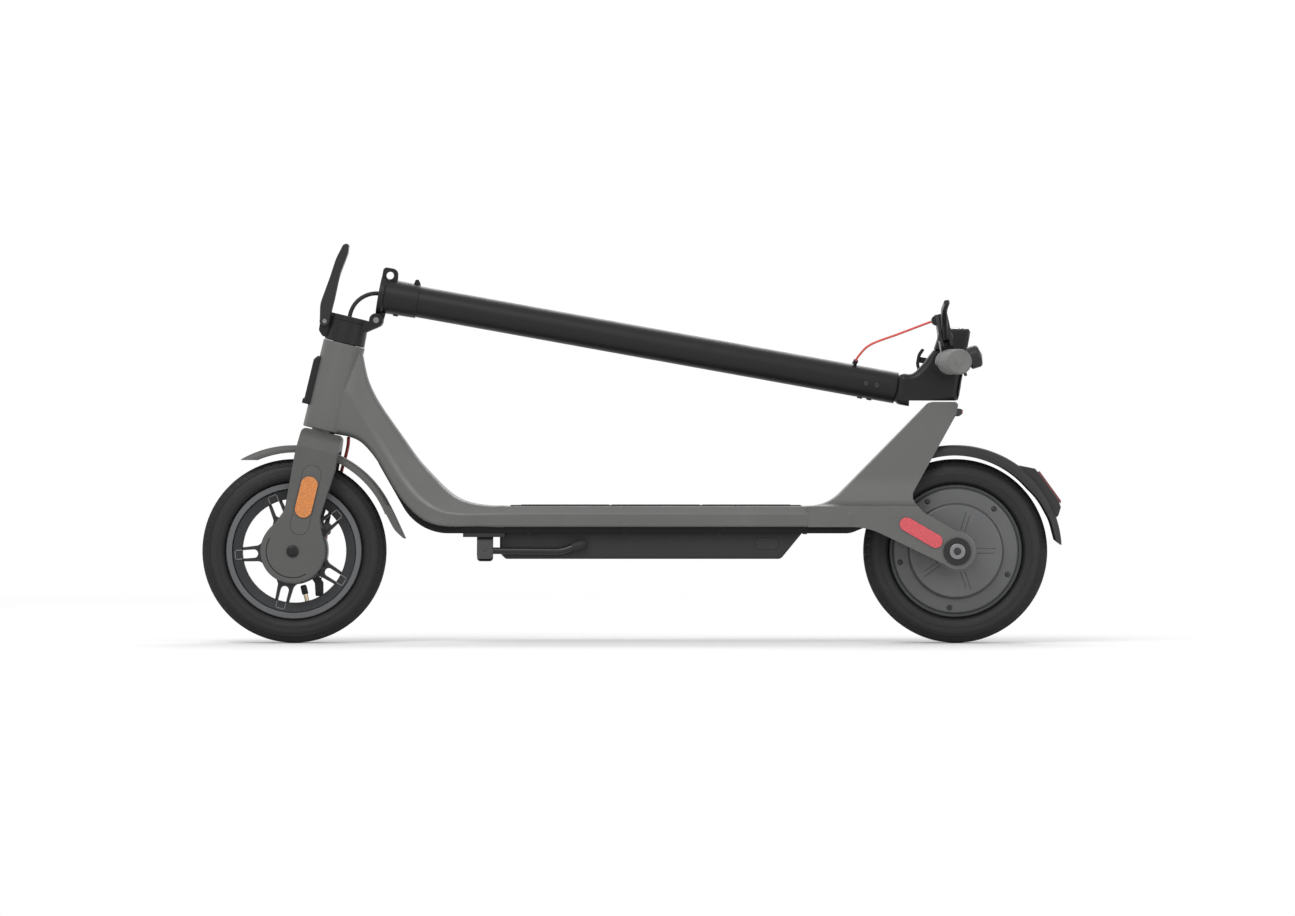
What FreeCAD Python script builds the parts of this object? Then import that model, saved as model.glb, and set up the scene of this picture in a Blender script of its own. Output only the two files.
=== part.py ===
"""Folding electric kick scooter, stored folded. Lengths are in millimetres.

+X runs from the front wheel to the rear wheel, +Y to the rider's right, +Z up. The origin is on the
ground, under the middle of the folded scooter. The fork, the stem and the bar are drawn upright in
frames of their own and placed where the folded scooter has them.
"""
import FreeCAD, Part
import math
import os
import Sketcher
from FreeCAD import Placement, Rotation, Vector

SIZES = {
    "wheel_radius": 126, "tyre_half_width": 26, "tread_half_width": 15,
    "front_axle_x": -463, "rear_axle_x": 444,
    "front_bead_radius": 93.3, "rear_bead_radius": 91, "rim_half_width": 18.5,
    "rim_opening_radius": 71.2, "front_hub_radius": 46, "spoke_slot_width": 11.4, "spoke_count": 5,
    "axle_radius": 6, "rear_axle_radius": 8, "running_gap": 0.05,
    "steering_tilt": 13.5, "head_radius": 29, "head_bottom": 170, "head_top": 292.4,
    "steerer_radius": 16, "bearing_radius": 21.5, "bearing_height": 8,
    "leg_outer": 58, "leg_inner": 46, "fork_top": 168, "arch_top": 147, "fork_disc_radius": 44.3,
    "cover_half_width": 12.5, "cover_low": 24, "cover_high": 120.5,
    "reflector_half_width": 11.5, "reflector_centre": 76.4, "reflector_half_length": 28.5,
    "collar_bottom": 293, "collar_top": 330.4, "collar_radius": 28,
    "fold_pin_w": 35.5, "fold_pin_s": 333.8, "fold_angle": 86.74, "knuckle_radius": 9.6, "pin_radius": 4,
    "ear_inner": 8, "ear_outer": 18, "harness_bend": 37.15, "harness_radius": 3,
    "latch_pin_w": -33, "latch_pin_s": 316, "latch_pin_radius": 3,
    "stem_radius": 21.5, "stem_wall": 2.5, "flange_thickness": 7, "head_start": 722,
    "eye_forward": 28.5, "eye_height": 11.1, "eye_radius": 5.2, "eye_half_width": 6.5,
    "bar_forward": 45.9, "bar_height": 779.9, "bar_radius": 11.1, "bar_bend": 75, "bar_sweep": 3.9,
    "grip_radius": 17.2, "grip_start": 53,
    "dash_top": 808, "head_half_width": 24,
    "deck_half_width": 78, "deck_top": 187.5, "deck_bottom": 159.2, "plate_bottom": 150.6,
    "deck_skin": 4, "deck_front_x": -170, "mat_thickness": 2,
    "case_bottom": 115.6, "case_half_width": 62, "case_front_x": -180, "case_wall": 2.5,
    "arm_half_width": 70, "arm_inner": 54, "arm_end_radius": 24.6,
    "tower_top": 330.3, "tower_slot": 37, "brake_pivot_x": 34, "brake_pivot_y": -2,
    "guard_radius": 145.23, "guard_half_width": 33, "guard_wall": 2.5, "guard_skirt": 14.5,
    "motor_radius": 86.3, "screw_circle": 78, "cover_screw_count": 5,
    "stand_pivot_x": -200, "stand_pivot_y": -68, "stand_pivot_z": 127, "stand_splay": 17.7,
}


class Size(float):
    """A length that knows both its value and the sheet expression that gives it."""

    def __new__(cls, value, text):
        size = super().__new__(cls, value)
        size.text = text
        return size

    def __add__(self, other):
        return Size(float(self) + float(other), f"({self.text} + {text_of(other)})")

    __radd__ = __add__

    def __sub__(self, other):
        return Size(float(self) - float(other), f"({self.text} - {text_of(other)})")

    def __rsub__(self, other):
        return Size(float(other) - float(self), f"({text_of(other)} - {self.text})")

    def __mul__(self, other):
        return Size(float(self) * float(other), f"({self.text} * {text_of(other)})")

    __rmul__ = __mul__

    def __truediv__(self, other):
        return Size(float(self) / float(other), f"({self.text} / {text_of(other)})")

    def __neg__(self):
        return Size(-float(self), f"(-{self.text})")


def text_of(value):
    """The value as the sheet writes it."""
    return value.text if isinstance(value, Size) else f"{float(value):.6g}"


class Dimensions:
    """The driving dimensions, kept in the document's spreadsheet."""

    def __init__(self, document, sizes):
        sheet = document.addObject("Spreadsheet::Sheet", "Dimensions")
        for row, (name, value) in enumerate(sizes.items(), start=1):
            sheet.set(f"A{row}", name)
            sheet.set(f"B{row}", str(value))
            sheet.setAlias(f"B{row}", name)
            setattr(self, name, Size(value, f"Dimensions.{name}"))


DOCUMENT = FreeCAD.newDocument("KickScooter")
d = Dimensions(DOCUMENT, SIZES)
DOCUMENT.recompute()
NODES = []


def place(x=0, y=0, z=0, angle=0, axis=(0, 1, 0)):
    """A placement at a point, turned about an axis."""
    return Placement(Vector(x, y, z), Rotation(Vector(*axis), float(angle)))


WORLD = place()
FRONT_AXLE = place(d.front_axle_x, 0, d.wheel_radius)
REAR_AXLE = place(d.rear_axle_x, 0, d.wheel_radius)
# The head frame: x behind the steering axis, z along it, up from the front axle.
HEAD = place(d.front_axle_x, 0, d.wheel_radius, d.steering_tilt)
FOLD_PIN = HEAD * place(d.fold_pin_w, 0, d.fold_pin_s)
# The stem frame: z along the stem from its flange, x towards the rider; folded about the pin.
STEM = FOLD_PIN * place(angle=d.fold_angle) * place(-d.fold_pin_w, 0, d.collar_top - d.fold_pin_s)
BAR = STEM * place(-d.bar_forward, 0, d.bar_height)
BAR_RIGHT = BAR * place(y=d.bar_bend, angle=d.bar_sweep, axis=(1, 0, 0))
BAR_LEFT = BAR * place(y=-d.bar_bend, angle=-d.bar_sweep, axis=(1, 0, 0))
# The brake lever's frame: x forward from the bar, y along it.
BRAKE = BAR_LEFT * place(y=-38, angle=160.8)
BELL = BAR_LEFT * place(y=-15, angle=-27.5)
STAND = place(d.stand_pivot_x, d.stand_pivot_y, d.stand_pivot_z, d.stand_splay, (-1, 0, 0))


def drive(target, name, value):
    """Sets a property and binds it to the sheet if the value comes from there."""
    setattr(target, name, float(value))
    if isinstance(value, Size):
        target.setExpression(name, value.text)


def circle(x, y, radius):
    """A round loop of a sketch."""
    return ("circle", x, y, radius)


def block(x0, y0, x1, y1, radius=0):
    """A rectangle's corners, rounded if a radius is given."""
    return [(x0, y0, radius), (x1, y0, radius), (x1, y1, radius), (x0, y1, radius)]


def both_sides(corners):
    """A profile given for y > 0, closed with its mirror image below."""
    return corners + [(corner[0], -corner[1]) + tuple(corner[2:]) for corner in reversed(corners)]


def corner_arc(before, corner, after, radius):
    """The arc that rounds a corner, from the side before it to the side after it."""
    back = (before - corner).normalize()
    onward = (after - corner).normalize()
    half = back.getAngle(onward) / 2
    reach = radius / math.tan(half)
    centre = corner + (back + onward).normalize() * (radius / math.sin(half))
    middle = centre + (corner - centre).normalize() * radius
    return corner + back * reach, middle, corner + onward * reach


class Drawing:
    """A sketch's closed loops and the constraints that hold them, solved once at the end."""

    def __init__(self, sketch):
        self.sketch = sketch
        self.constraints = []
        self.bound = []

    def hold(self, *arguments):
        """Adds a constraint; a size from the sheet stays bound to it."""
        value = arguments[-1]
        if isinstance(value, Size):
            self.bound.append((len(self.constraints), value.text))
            arguments = arguments[:-1] + (float(value),)
        self.constraints.append(Sketcher.Constraint(*arguments))

    def pin(self, geometry, point, x, y):
        """Holds a point at x, y."""
        for kind, value, axis in (("DistanceX", x, -2), ("DistanceY", y, -1)):
            if abs(float(value)) < 1e-9:
                self.hold("PointOnObject", geometry, point, axis)
            else:
                self.hold(kind, -1, 1, geometry, point, value if isinstance(value, Size) else float(value))

    def circle(self, x, y, radius):
        centre = Vector(float(x), float(y), 0)
        geometry = self.sketch.addGeometry(Part.Circle(centre, Vector(0, 0, 1), float(radius)))
        self.pin(geometry, 3, x, y)
        self.hold("Radius", geometry, radius if isinstance(radius, Size) else float(radius))

    def outline(self, corners):
        """Draws straight sides through the corners, each corner rounded by its third value."""
        points = [Vector(float(corner[0]), float(corner[1]), 0) for corner in corners]
        radii = [corner[2] if len(corner) > 2 else 0 for corner in corners]
        count = len(points)
        arcs = [None] * count
        for index, radius in enumerate(radii):
            if radius > 0:
                following = points[(index + 1) % count]
                arcs[index] = corner_arc(points[index - 1], points[index], following, float(radius))
        sides = []
        for index in range(count):
            following = (index + 1) % count
            first = arcs[index][2] if arcs[index] else points[index]
            last = arcs[following][0] if arcs[following] else points[following]
            sides.append(self.sketch.addGeometry(Part.LineSegment(first, last)))
        for index, (x, y) in enumerate(corner[:2] for corner in corners):
            before, after = sides[index - 1], sides[index]
            if arcs[index] is None:
                self.hold("Coincident", before, 2, after, 1)
                self.pin(after, 1, x, y)
            else:
                self.round_off(arcs[index], points[index], (x, y), before, after)
                self.hold("Radius", self.sketch.GeometryCount - 1, radii[index])

    def round_off(self, arc, corner, position, before, after):
        """Draws one corner's arc between its two sides; a sketch keeps its arcs anticlockwise."""
        leftward = (corner - arc[0]).cross(arc[2] - corner).z > 0
        first, last = (1, 2) if leftward else (2, 1)
        geometry = self.sketch.addGeometry(Part.Arc(*(arc if leftward else arc[::-1])))
        entry, leave = arc[0] - corner, arc[2] - corner
        self.hold("Coincident", before, 2, geometry, first)
        self.hold("Coincident", geometry, last, after, 1)
        self.pin(geometry, first, position[0] + entry.x, position[1] + entry.y)
        self.pin(geometry, last, position[0] + leave.x, position[1] + leave.y)

    def finish(self):
        self.sketch.addConstraint(self.constraints)
        for index, text in self.bound:
            self.sketch.setExpression(f"Constraints[{index}]", text)


def draw(sketch, loops):
    """Draws each closed loop: a circle or a list of corners."""
    drawing = Drawing(sketch)
    for loop in loops:
        if loop[0] == "circle":
            drawing.circle(*loop[1:])
        else:
            drawing.outline(loop)
    drawing.finish()


class Piece:
    """A PartDesign body, built feature by feature in its own frame."""

    def __init__(self, label, frame=WORLD, node=True):
        self.body = DOCUMENT.addObject("PartDesign::Body", label)
        self.body.Label = label
        self.body.Placement = frame
        if node:
            NODES.append(self.body)

    def sketch(self, plane, loops, offset):
        sketch = self.body.newObject("Sketcher::SketchObject", "Outline")
        origin = [item for item in self.body.Origin.OriginFeatures if item.Role == plane + "_Plane"][0]
        sketch.AttachmentSupport = (origin, [""])
        sketch.MapMode = "FlatFace"
        sketch.AttachmentOffset = offset
        draw(sketch, loops)
        return sketch

    def extrude(self, kind, plane, loops, thickness, level):
        side = -1 if plane == "XZ" else 1
        sketch = self.sketch(plane, loops, place(z=side * level))
        feature = self.body.newObject(kind, "Feature")
        feature.Profile = sketch
        feature.SideType = "Symmetric"
        drive(feature, "Length", thickness)
        return feature

    def pad(self, plane, loops, thickness, level=0):
        """Adds an extrusion, half its thickness each side of the level."""
        return self.extrude("PartDesign::Pad", plane, loops, thickness, level)

    def cut(self, plane, loops, thickness, level=0):
        """Takes an extrusion away, half its thickness each side of the level."""
        return self.extrude("PartDesign::Pocket", plane, loops, thickness, level)

    def revolve(self, kind, plane, loops):
        sketch = self.sketch(plane, loops, place())
        feature = self.body.newObject(kind, "Feature")
        feature.Profile = sketch
        feature.ReferenceAxis = (sketch, ["V_Axis"])
        feature.Angle = 360
        return feature

    def turn(self, plane, loops):
        """Adds a solid of revolution about the sketch's upright axis."""
        return self.revolve("PartDesign::Revolution", plane, loops)

    def repeat(self, features, count):
        """Repeats features evenly about the body's Y axis."""
        axis = [item for item in self.body.Origin.OriginFeatures if item.Role == "Y_Axis"][0]
        pattern = self.body.newObject("PartDesign::PolarPattern", "Repeat")
        pattern.Originals = features
        pattern.Axis = (axis, [""])
        pattern.Angle = 360
        pattern.Occurrences = int(count)
        self.body.Tip = pattern

    def fillet(self, radius, chosen):
        """Rounds the edges that the test picks."""
        DOCUMENT.recompute()
        base = self.body.Tip
        edges = [f"Edge{i}" for i, edge in enumerate(base.Shape.Edges, start=1) if chosen(edge)]
        feature = self.body.newObject("PartDesign::Fillet", "Edges")
        feature.Base = (base, edges)
        drive(feature, "Radius", radius)


def lies_at(**where):
    """An edge test: every point of the edge has these coordinates, ignoring their signs."""
    def test(edge):
        box = edge.BoundBox
        for axis, value in where.items():
            low, high = getattr(box, axis.upper() + "Min"), getattr(box, axis.upper() + "Max")
            if abs(abs(low) - value) > 0.05 or abs(abs(high) - value) > 0.05:
                return False
        return True
    return test


def plate(label, plane, loops, thickness, level=0, frame=WORLD, node=True):
    """A piece cut from one flat plate."""
    piece = Piece(label, frame, node)
    piece.pad(plane, loops, thickness, level)
    return piece


def turned(label, plane, loops, frame=WORLD, node=True):
    """A piece turned on a lathe."""
    piece = Piece(label, frame, node)
    piece.turn(plane, loops)
    return piece


def combine(kind, label, *items):
    """Joins pieces in one node: Part::Cut takes two, Part::MultiFuse and Part::Compound any number."""
    result = DOCUMENT.addObject(kind, label)
    result.Label = label
    items = [getattr(item, "body", item) for item in items]
    if kind == "Part::Cut":
        result.Base, result.Tool = items
    elif kind == "Part::Compound":
        result.Links = items
    else:
        result.Shapes = items
    for item in items:
        if item in NODES:
            NODES.remove(item)
    NODES.append(result)
    return result


def solid(label, shape, frame=WORLD):
    """A node whose shape is made directly from the sheet's sizes."""
    feature = DOCUMENT.addObject("Part::Feature", label)
    feature.Label = label
    feature.Shape = shape
    feature.Placement = frame
    NODES.append(feature)
    return feature


def route(points, bend=None):
    """A wire through the points: straight runs joined by tangent arcs as large as the runs allow."""
    points = [Vector(*point) for point in points]
    edges = []
    start = points[0]
    for before, corner, after in zip(points, points[1:], points[2:]):
        turn = (corner - before).getAngle(after - corner)
        shorter = min((corner - before).Length, (after - corner).Length)
        radius = bend if bend else 0.45 * shorter / math.tan(turn / 2)
        first, middle, last = corner_arc(before, corner, after, radius)
        if (first - start).Length > 1e-6:
            edges.append(Part.LineSegment(start, first).toShape())
        edges.append(Part.Arc(first, middle, last).toShape())
        start = last
    edges.append(Part.LineSegment(start, points[-1]).toShape())
    return Part.Wire(edges)


def bent_rod(points, radius, bend=None):
    """A round rod that follows a route."""
    path = route(points, bend)
    first = Vector(*points[0])
    along = (Vector(*points[1]) - first).normalize()
    section = Part.Wire([Part.Circle(first, along, float(radius)).toShape()])
    return path.makePipeShell([section], True, False)


def cylinder(radius, x, y, z, length, axis=(0, 1, 0)):
    """A round bar that starts at a point and runs along an axis."""
    return Part.makeCylinder(float(radius), float(length), Vector(x, y, z), Vector(*axis))


# ---------------------------------------------------------------- frame

def neck():
    """The neck: a six-sided tube that grows from the head tube to the deck's full width."""
    piece = Piece("neck", node=False)
    stations = [
        # underside x, z; top x, z; half widths as shares of the deck: underside, side, top; side height
        (-421, 294, -397, 404, 0.24, 0.25, 0.18, 0.48),
        (-397, 284.5, -369.5, 398, 0.31, 0.335, 0.21, 0.46),
        (-380, 280, -361.5, 361, 0.33, 0.36, 0.23, 0.44),
        (-362, 266.5, -331, 306.5, 0.38, 0.42, 0.26, 0.40),
        (-346.5, 246.5, -308.5, 274.5, 0.45, 0.50, 0.31, 0.37),
        (-331, 220.5, -290.8, 250, 0.54, 0.61, 0.38, 0.36),
        (-316, 198, -271, 228, 0.65, 0.73, 0.48, 0.37),
        (-301, 181.5, -255, 211.5, 0.76, 0.84, 0.60, 0.40),
        (-284, 168.5, -239, 199.5, 0.86, 0.92, 0.72, 0.45),
        (-262, 161, -222, 192.5, 0.94, 0.97, 0.81, 0.52),
        (-234, 159.2, -203, 189, 0.98, 0.995, 0.87, 0.58),
        (-200, 159.2, -186, 187.7, 0.99, 1, 0.89, 0.62),
        (d.deck_front_x, d.deck_bottom, d.deck_front_x, d.deck_top, 0.99, 1, 0.9, 0.63),
    ]
    sketches = []
    for index, (x0, z0, x1, z1, low, side, top, height) in enumerate(stations):
        length = math.hypot(x1 - x0, z1 - z0)
        lean = math.degrees(math.atan2(x1 - x0, z1 - z0))
        offset = Placement(Vector(0, z0, x0), Rotation(Vector(1, 0, 0), lean))
        roundness = 1 - index / len(stations)
        half = d.deck_half_width
        section = [
            (-half * low, 0, 3 + 6 * roundness), (half * low, 0, 3 + 6 * roundness),
            (half * side, height * length, 4 + 14 * roundness), (half * top, length, 4 + 10 * roundness),
            (-half * top, length, 4 + 10 * roundness), (-half * side, height * length, 4 + 14 * roundness),
        ]
        sketches.append(piece.sketch("YZ", [section], offset))
    loft = piece.body.newObject("PartDesign::AdditiveLoft", "Loft")
    loft.Profile = sketches[0]
    loft.Sections = sketches[1:]
    return piece


def deck():
    """The deck channel: bevelled sides, a flat top and a bay for the battery, open below."""
    piece = Piece("deck", node=False)
    height = d.deck_top - d.deck_bottom
    half = d.deck_half_width
    side = d.deck_bottom + height * 0.63
    section = [
        (-half * 0.99, d.deck_bottom, 3), (half * 0.99, d.deck_bottom, 3), (half, side, 4),
        (half * 0.9, d.deck_top, 4), (-half * 0.9, d.deck_top, 4), (-half, side, 4),
    ]
    piece.pad("YZ", [section], 300 - d.deck_front_x, (300 + d.deck_front_x) / 2)
    piece.cut("XY", [block(-164, -66, 222, 66, 6)], (height - d.deck_skin) * 2, d.deck_bottom)
    return piece


def head_tube():
    low, high, radius = d.head_bottom, d.head_top, d.head_radius
    return turned("head_tube", "XZ", [[(0, low), (radius, low, 2), (radius, high, 1),
        (0, high)]], HEAD, node=False)


def head_bore():
    """The space inside the head tube: a bearing seat at each end and a clear bore between."""
    seat = d.bearing_radius
    bore = d.steerer_radius + 4
    low = d.head_bottom + d.bearing_height
    high = d.head_top - d.bearing_height
    return turned("head_bore", "XZ", [[
        (0, d.head_bottom - 6), (seat, d.head_bottom - 6), (seat, low), (bore, low),
        (bore, high), (seat, high), (seat, d.head_top + 0.2), (32, d.head_top + 0.2),
        (32, d.head_top + 20), (0, d.head_top + 20),
    ]], HEAD, node=False)


def rear_arms():
    """The two arms that carry the rear axle, with the wheel's tunnel between them."""
    piece = Piece("rear_arms", node=False)
    axle_x, axle_z = d.rear_axle_x, d.wheel_radius
    piece.pad("XZ", [[
        (240, d.deck_bottom), (321.4, d.deck_bottom, 90), (434, 105), (455, 146.6),
        (384, d.deck_top, 60), (240, d.deck_top),
    ]], d.deck_half_width * 2)
    piece.pad("XZ", [circle(axle_x, axle_z, d.arm_end_radius)], d.arm_half_width * 2)
    wedge = [(290, d.deck_half_width), (350, d.arm_half_width), (500, d.arm_half_width), (500, 90), (290, 90)]
    mirrored = [(corner[0], -corner[1]) for corner in wedge]
    piece.cut("XY", [wedge, mirrored], 400, 150)
    piece.cut("XZ", [circle(axle_x, axle_z, 136)], d.arm_inner * 2)
    piece.cut("XZ", [circle(axle_x, axle_z, d.rear_axle_radius)], 200)
    return piece


def tower():
    """The rear tower that holds up the folded stem; it straddles the wheel and its mudguard."""
    piece = Piece("tower", node=False)
    piece.pad("XZ", [[
        (240, 176), (396.9, 172), (396.9, 180.6, 6), (384, 196, 12), (384, 205.5, 8), (444, 312.4, 10),
        (448, d.tower_top, 5), (408.2, d.tower_top, 12), (268.6, d.deck_top, 60), (240, d.deck_top),
    ]], d.deck_half_width * 2)
    outer = [(d.deck_half_width * 0.9, 170), (d.deck_half_width * 0.9, d.deck_top, 2), (59, 190, 16),
             (47, 222, 60), (31, d.tower_top + 2), (95, d.tower_top + 2), (95, 170)]
    mirrored = [(-corner[0], corner[1]) + corner[2:] for corner in outer]
    piece.cut("YZ", [outer, mirrored], 500, 300)
    piece.cut("XZ", [circle(d.rear_axle_x, d.wheel_radius, 149)], d.tower_slot * 2)
    piece.cut("XZ", [block(427, 310, 460, 322)], 28)
    return piece


def main_frame():
    """Head tube, neck, deck, tower and arms: one painted weldment."""
    joined = combine("Part::MultiFuse", "frame_metal", neck(), deck(), head_tube(), rear_arms(), tower())
    return combine("Part::Cut", "main_frame", joined, head_bore())


def deck_mat():
    plate("deck_mat", "XY", [block(-166, -66, 232, 66, 24)],
        d.mat_thickness, d.deck_top + d.mat_thickness / 2)


def bottom_plate(frame):
    """The black plate under the deck; it curls up under the neck and is open for the battery."""
    piece = Piece("plate_sheet")
    piece.pad("XZ", [[
        (317, 158.4), (298, d.plate_bottom, 30), (-291.7, d.plate_bottom, 72), (-347, 246.3), (-342, 249),
        (-300, 192, 40), (-262, 168, 20), (-232, d.deck_bottom), (317, d.deck_bottom),
    ]], (d.deck_half_width - 4) * 2)
    edge = [(-222, 74), (-262, 66), (-300, 51), (-331, 36), (-350, 28), (-350, 90), (-222, 90)]
    mirrored = [(corner[0], -corner[1]) for corner in edge]
    piece.cut("XY", [edge, mirrored], 300, 200)
    piece.cut("XY", [block(-170, -58, 214, 58, 6)], 60, 160)
    combine("Part::Cut", "bottom_plate", piece, frame)
    NODES.append(frame)


def battery_case():
    """The tub that hangs under the deck, with the charge port in its left side."""
    piece = Piece("case_tub")
    wall = d.case_wall
    piece.pad("XZ", [[
        (d.case_front_x, d.plate_bottom), (d.case_front_x, d.case_bottom + 8, 5),
        (d.case_front_x + 8, d.case_bottom, 5), (203.6, d.case_bottom, 8), (232.4, d.plate_bottom),
    ]], d.case_half_width * 2)
    piece.fillet(4, lambda edge: lies_at(y=float(d.case_half_width))(edge) and edge.BoundBox.ZMax < 150)
    piece.cut("XZ", [[
        (d.case_front_x + wall, d.plate_bottom + 5), (d.case_front_x + wall, d.case_bottom + 9, 3),
        (d.case_front_x + 9, d.case_bottom + wall, 3), (202.4, d.case_bottom + wall, 6),
        (233, d.plate_bottom + 5),
    ]], (d.case_half_width - wall) * 2)
    piece.pad("XZ", [block(162, 122, 206, 149)], 8, 4 - d.case_half_width + 1)
    piece.cut("XZ", [block(168, 127.8, 201.6, 144.8, 8.4)], 5, -d.case_half_width)
    piece.cut("XZ", [circle(184.8, 136.3, 6.2)], 30, -d.case_half_width)
    socket = plate("charge_socket", "XZ", [circle(184.8, 136.3, 6.2)], 10, -54.6)
    socket.cut("XZ", [circle(184.8, 136.3, 4.5)], 8, -59.6)
    socket.pad("XZ", [circle(184.8, 136.3, 1.2)], 7, -55.6)
    combine("Part::Compound", "battery_case", piece, socket)


def port_cover():
    """A rubber flap, hinged along its top edge, with a plug that seals the socket's mouth."""
    plate("port_cover", "XZ", [block(168.4, 128.2, 201.2, 144.4, 7.9)], 2.2, -61)


def battery_pack():
    """Two rows of cells in a shrink-wrapped block."""
    piece = plate("battery_pack", "XZ", [block(-158, 119, 122, 181, 6)], 100)
    piece.cut("XZ", [block(-150, 176, 114, 190, 2)], 40)


def controller_box():
    piece = plate("controller_box", "XZ", [block(130, 119, 196, 150, 3)], 88)
    piece.cut("YZ", [block(-38, 146, -20, 152), block(-10, 146, 10, 152), block(20, 146, 38, 152)], 60, 163)


def head_trim():
    """The strip on the front of the head tube, with its lip at the lower end."""
    piece = Piece("trim_strip", HEAD)
    piece.pad("XZ", [[
        (-20, 200), (-37.5, 200, 1), (-37.5, 206, 1), (-35.5, 208, 1), (-35.5, 262, 4), (-31, 268, 2),
        (-20, 268),
    ]], 26)
    piece.fillet(3, lambda edge: abs(edge.BoundBox.XMax + 35.5) < 0.2 and edge.BoundBox.ZLength > 40)
    tube = plate("trim_tool", "XY", [circle(0, 0, d.head_radius)], 200, 230, HEAD, node=False)
    combine("Part::Cut", "head_trim", piece, tube)


def rings(label, profiles, plane, frame):
    """Separate turned rings that share one node."""
    parts = [turned(f"{label}_{index}", plane, [profile], frame) for index, profile in enumerate(profiles)]
    return combine("Part::Compound", label, *parts)


def ring_profile(inner, outer, low, high, bevel=0.4):
    """A ring's section, with bevelled outer corners."""
    return [(inner, low), (outer, low, bevel), (outer, high, bevel), (inner, high)]


def headset_bearings():
    inner = d.steerer_radius + d.running_gap
    rings("headset_bearings", [
        ring_profile(inner, d.bearing_radius, d.head_bottom, d.head_bottom + d.bearing_height),
        ring_profile(inner, d.bearing_radius, d.head_top - d.bearing_height, d.head_top),
    ], "XZ", HEAD)


def pair(label, plane, loops, thickness, level, frame=WORLD):
    """Two equal plates, one each side of the middle, in one node."""
    plates = [plate(f"{label}_{side}", plane, loops, thickness, side * level, frame) for side in (-1, 1)]
    return combine("Part::Compound", label, *plates)


def stud(label, radius, length, frame):
    """A round screw head or pin that stands along Z of its frame."""
    item = DOCUMENT.addObject("Part::Cylinder", label)
    drive(item, "Radius", radius)
    drive(item, "Height", length)
    item.Placement = frame
    return item


def studs(label, radius, length, frames):
    """Equal screw heads that share one node."""
    items = [stud(f"{label}_{index}", radius, length, frame) for index, frame in enumerate(frames)]
    return combine("Part::Compound", label, *items)


def rear_mudguard():
    """An arched guard with side skirts, from under the tower to a pointed tail."""
    radius, half, wall = d.guard_radius, d.guard_half_width, d.guard_wall
    skirt = radius - d.guard_skirt
    guard = turned("guard_arch", "XY", [[
        (skirt, half), (radius, half, 9), (radius, -half, 9), (skirt, -half), (skirt, wall - half),
        (radius - wall, wall - half, 7), (radius - wall, half - wall, 7), (skirt, half - wall),
    ]], REAR_AXLE)
    below = [(0, 0), (-200, 167.8), (-200, -200), (200, -200), (200, 11.182)]
    tail = [(145.1, 8.11), (136.6, 15.2), (129.5, 42, 60), (113, 72, 90), (96, 88), (88, 88), (120, 4),
        (146, 4)]
    guard.cut("XZ", [below], 90)
    guard.cut("XZ", [tail], 90)
    boss = plate("guard_boss", "XY", [block(-8, -9, 8, 9, 2)], 7, 145.2, REAR_AXLE * place(angle=-30))
    lamp = plate("lamp_block", "XZ", [[
        (527, 226), (531, 243.2), (552.7, 238.9, 3), (556.5, 233.9), (585, 194.2), (588, 186, 2),
        (584, 173, 5), (577, 171),
    ]], 50)
    arch = plate("arch_space", "XZ", [circle(0, 0, radius - wall / 2)], 80, 0, REAR_AXLE, node=False)
    housing = combine("Part::Cut", "lamp_housing", lamp, arch)
    combine("Part::MultiFuse", "rear_mudguard", guard, boss, housing)


def tail_light_lens():
    """The slanted red lens on the lamp housing at the mudguard's tail."""
    plate("tail_light_lens", "XZ", [[
        (558.9, 235.8, 1), (588.3, 195.2, 1), (588.2, 190.6, 0.5), (585, 194.2), (556.5, 233.9),
    ]], 38)


def rear_axle_set():
    """The fixed axle with its spacers, black washers and end nuts."""
    radius = d.rear_axle_radius
    end = d.arm_half_width + 3.5
    rod = turned("axle_rod", "XY", [[(0, -end), (radius, -end, 0.5), (radius, end, 0.5),
        (0, end)]], REAR_AXLE)
    washers = [ring_profile(radius, 18.8, d.arm_half_width, end, 1.2),
               ring_profile(radius, 18.8, -end, -d.arm_half_width, 1.2),
               ring_profile(radius, 12, 45.6, d.arm_inner),
               ring_profile(radius, 12, -d.arm_inner, -45.6)]
    rings("rear_washers", washers, "XY", REAR_AXLE)
    nuts = rings("axle_nuts", [
        [(5, end), (10.8, end), (10.8, end + 4.5, 1.2), (5, end + 4.5, 0.5)],
        [(5, -end), (10.8, -end), (10.8, -end - 4.5, 1.2), (5, -end - 4.5, 0.5)],
    ], "XY", REAR_AXLE)
    combine("Part::Compound", "rear_axle", rod, nuts)


def motor_stator():
    radius = d.rear_axle_radius
    turned("motor_stator", "XY", [both_sides([(radius, 20), (20, 20, 2), (24, 11, 2),
        (57, 11, 1)])], REAR_AXLE)


def rear_reflectors():
    frame = place(394.7, 0, 151.6, 30.2)
    pair("rear_reflectors", "XZ", [block(-32.3, -9.4, 32.3, 9.4, 9.38)], 1.8, d.arm_half_width + 0.9, frame)


def catch_button():
    """The red button on the tower that frees the folded stem."""
    button = plate("catch_button", "XZ", [[
        (430.5, 310.6), (449, 310.6, 1), (454, 314, 4), (454.6, 320, 3), (450, 321.4, 1), (430.5, 321.4),
    ]], 27)
    button.fillet(2.5, lambda edge: lies_at(y=13.5)(edge) and edge.BoundBox.XMin > 448)


def plate_screws():
    places = [place(x, y, d.plate_bottom - 1.2) for x in (-140, -10, 120, 236) for y in (-68, 68)]
    studs("plate_screws", 3.2, 1.2, places)


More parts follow.
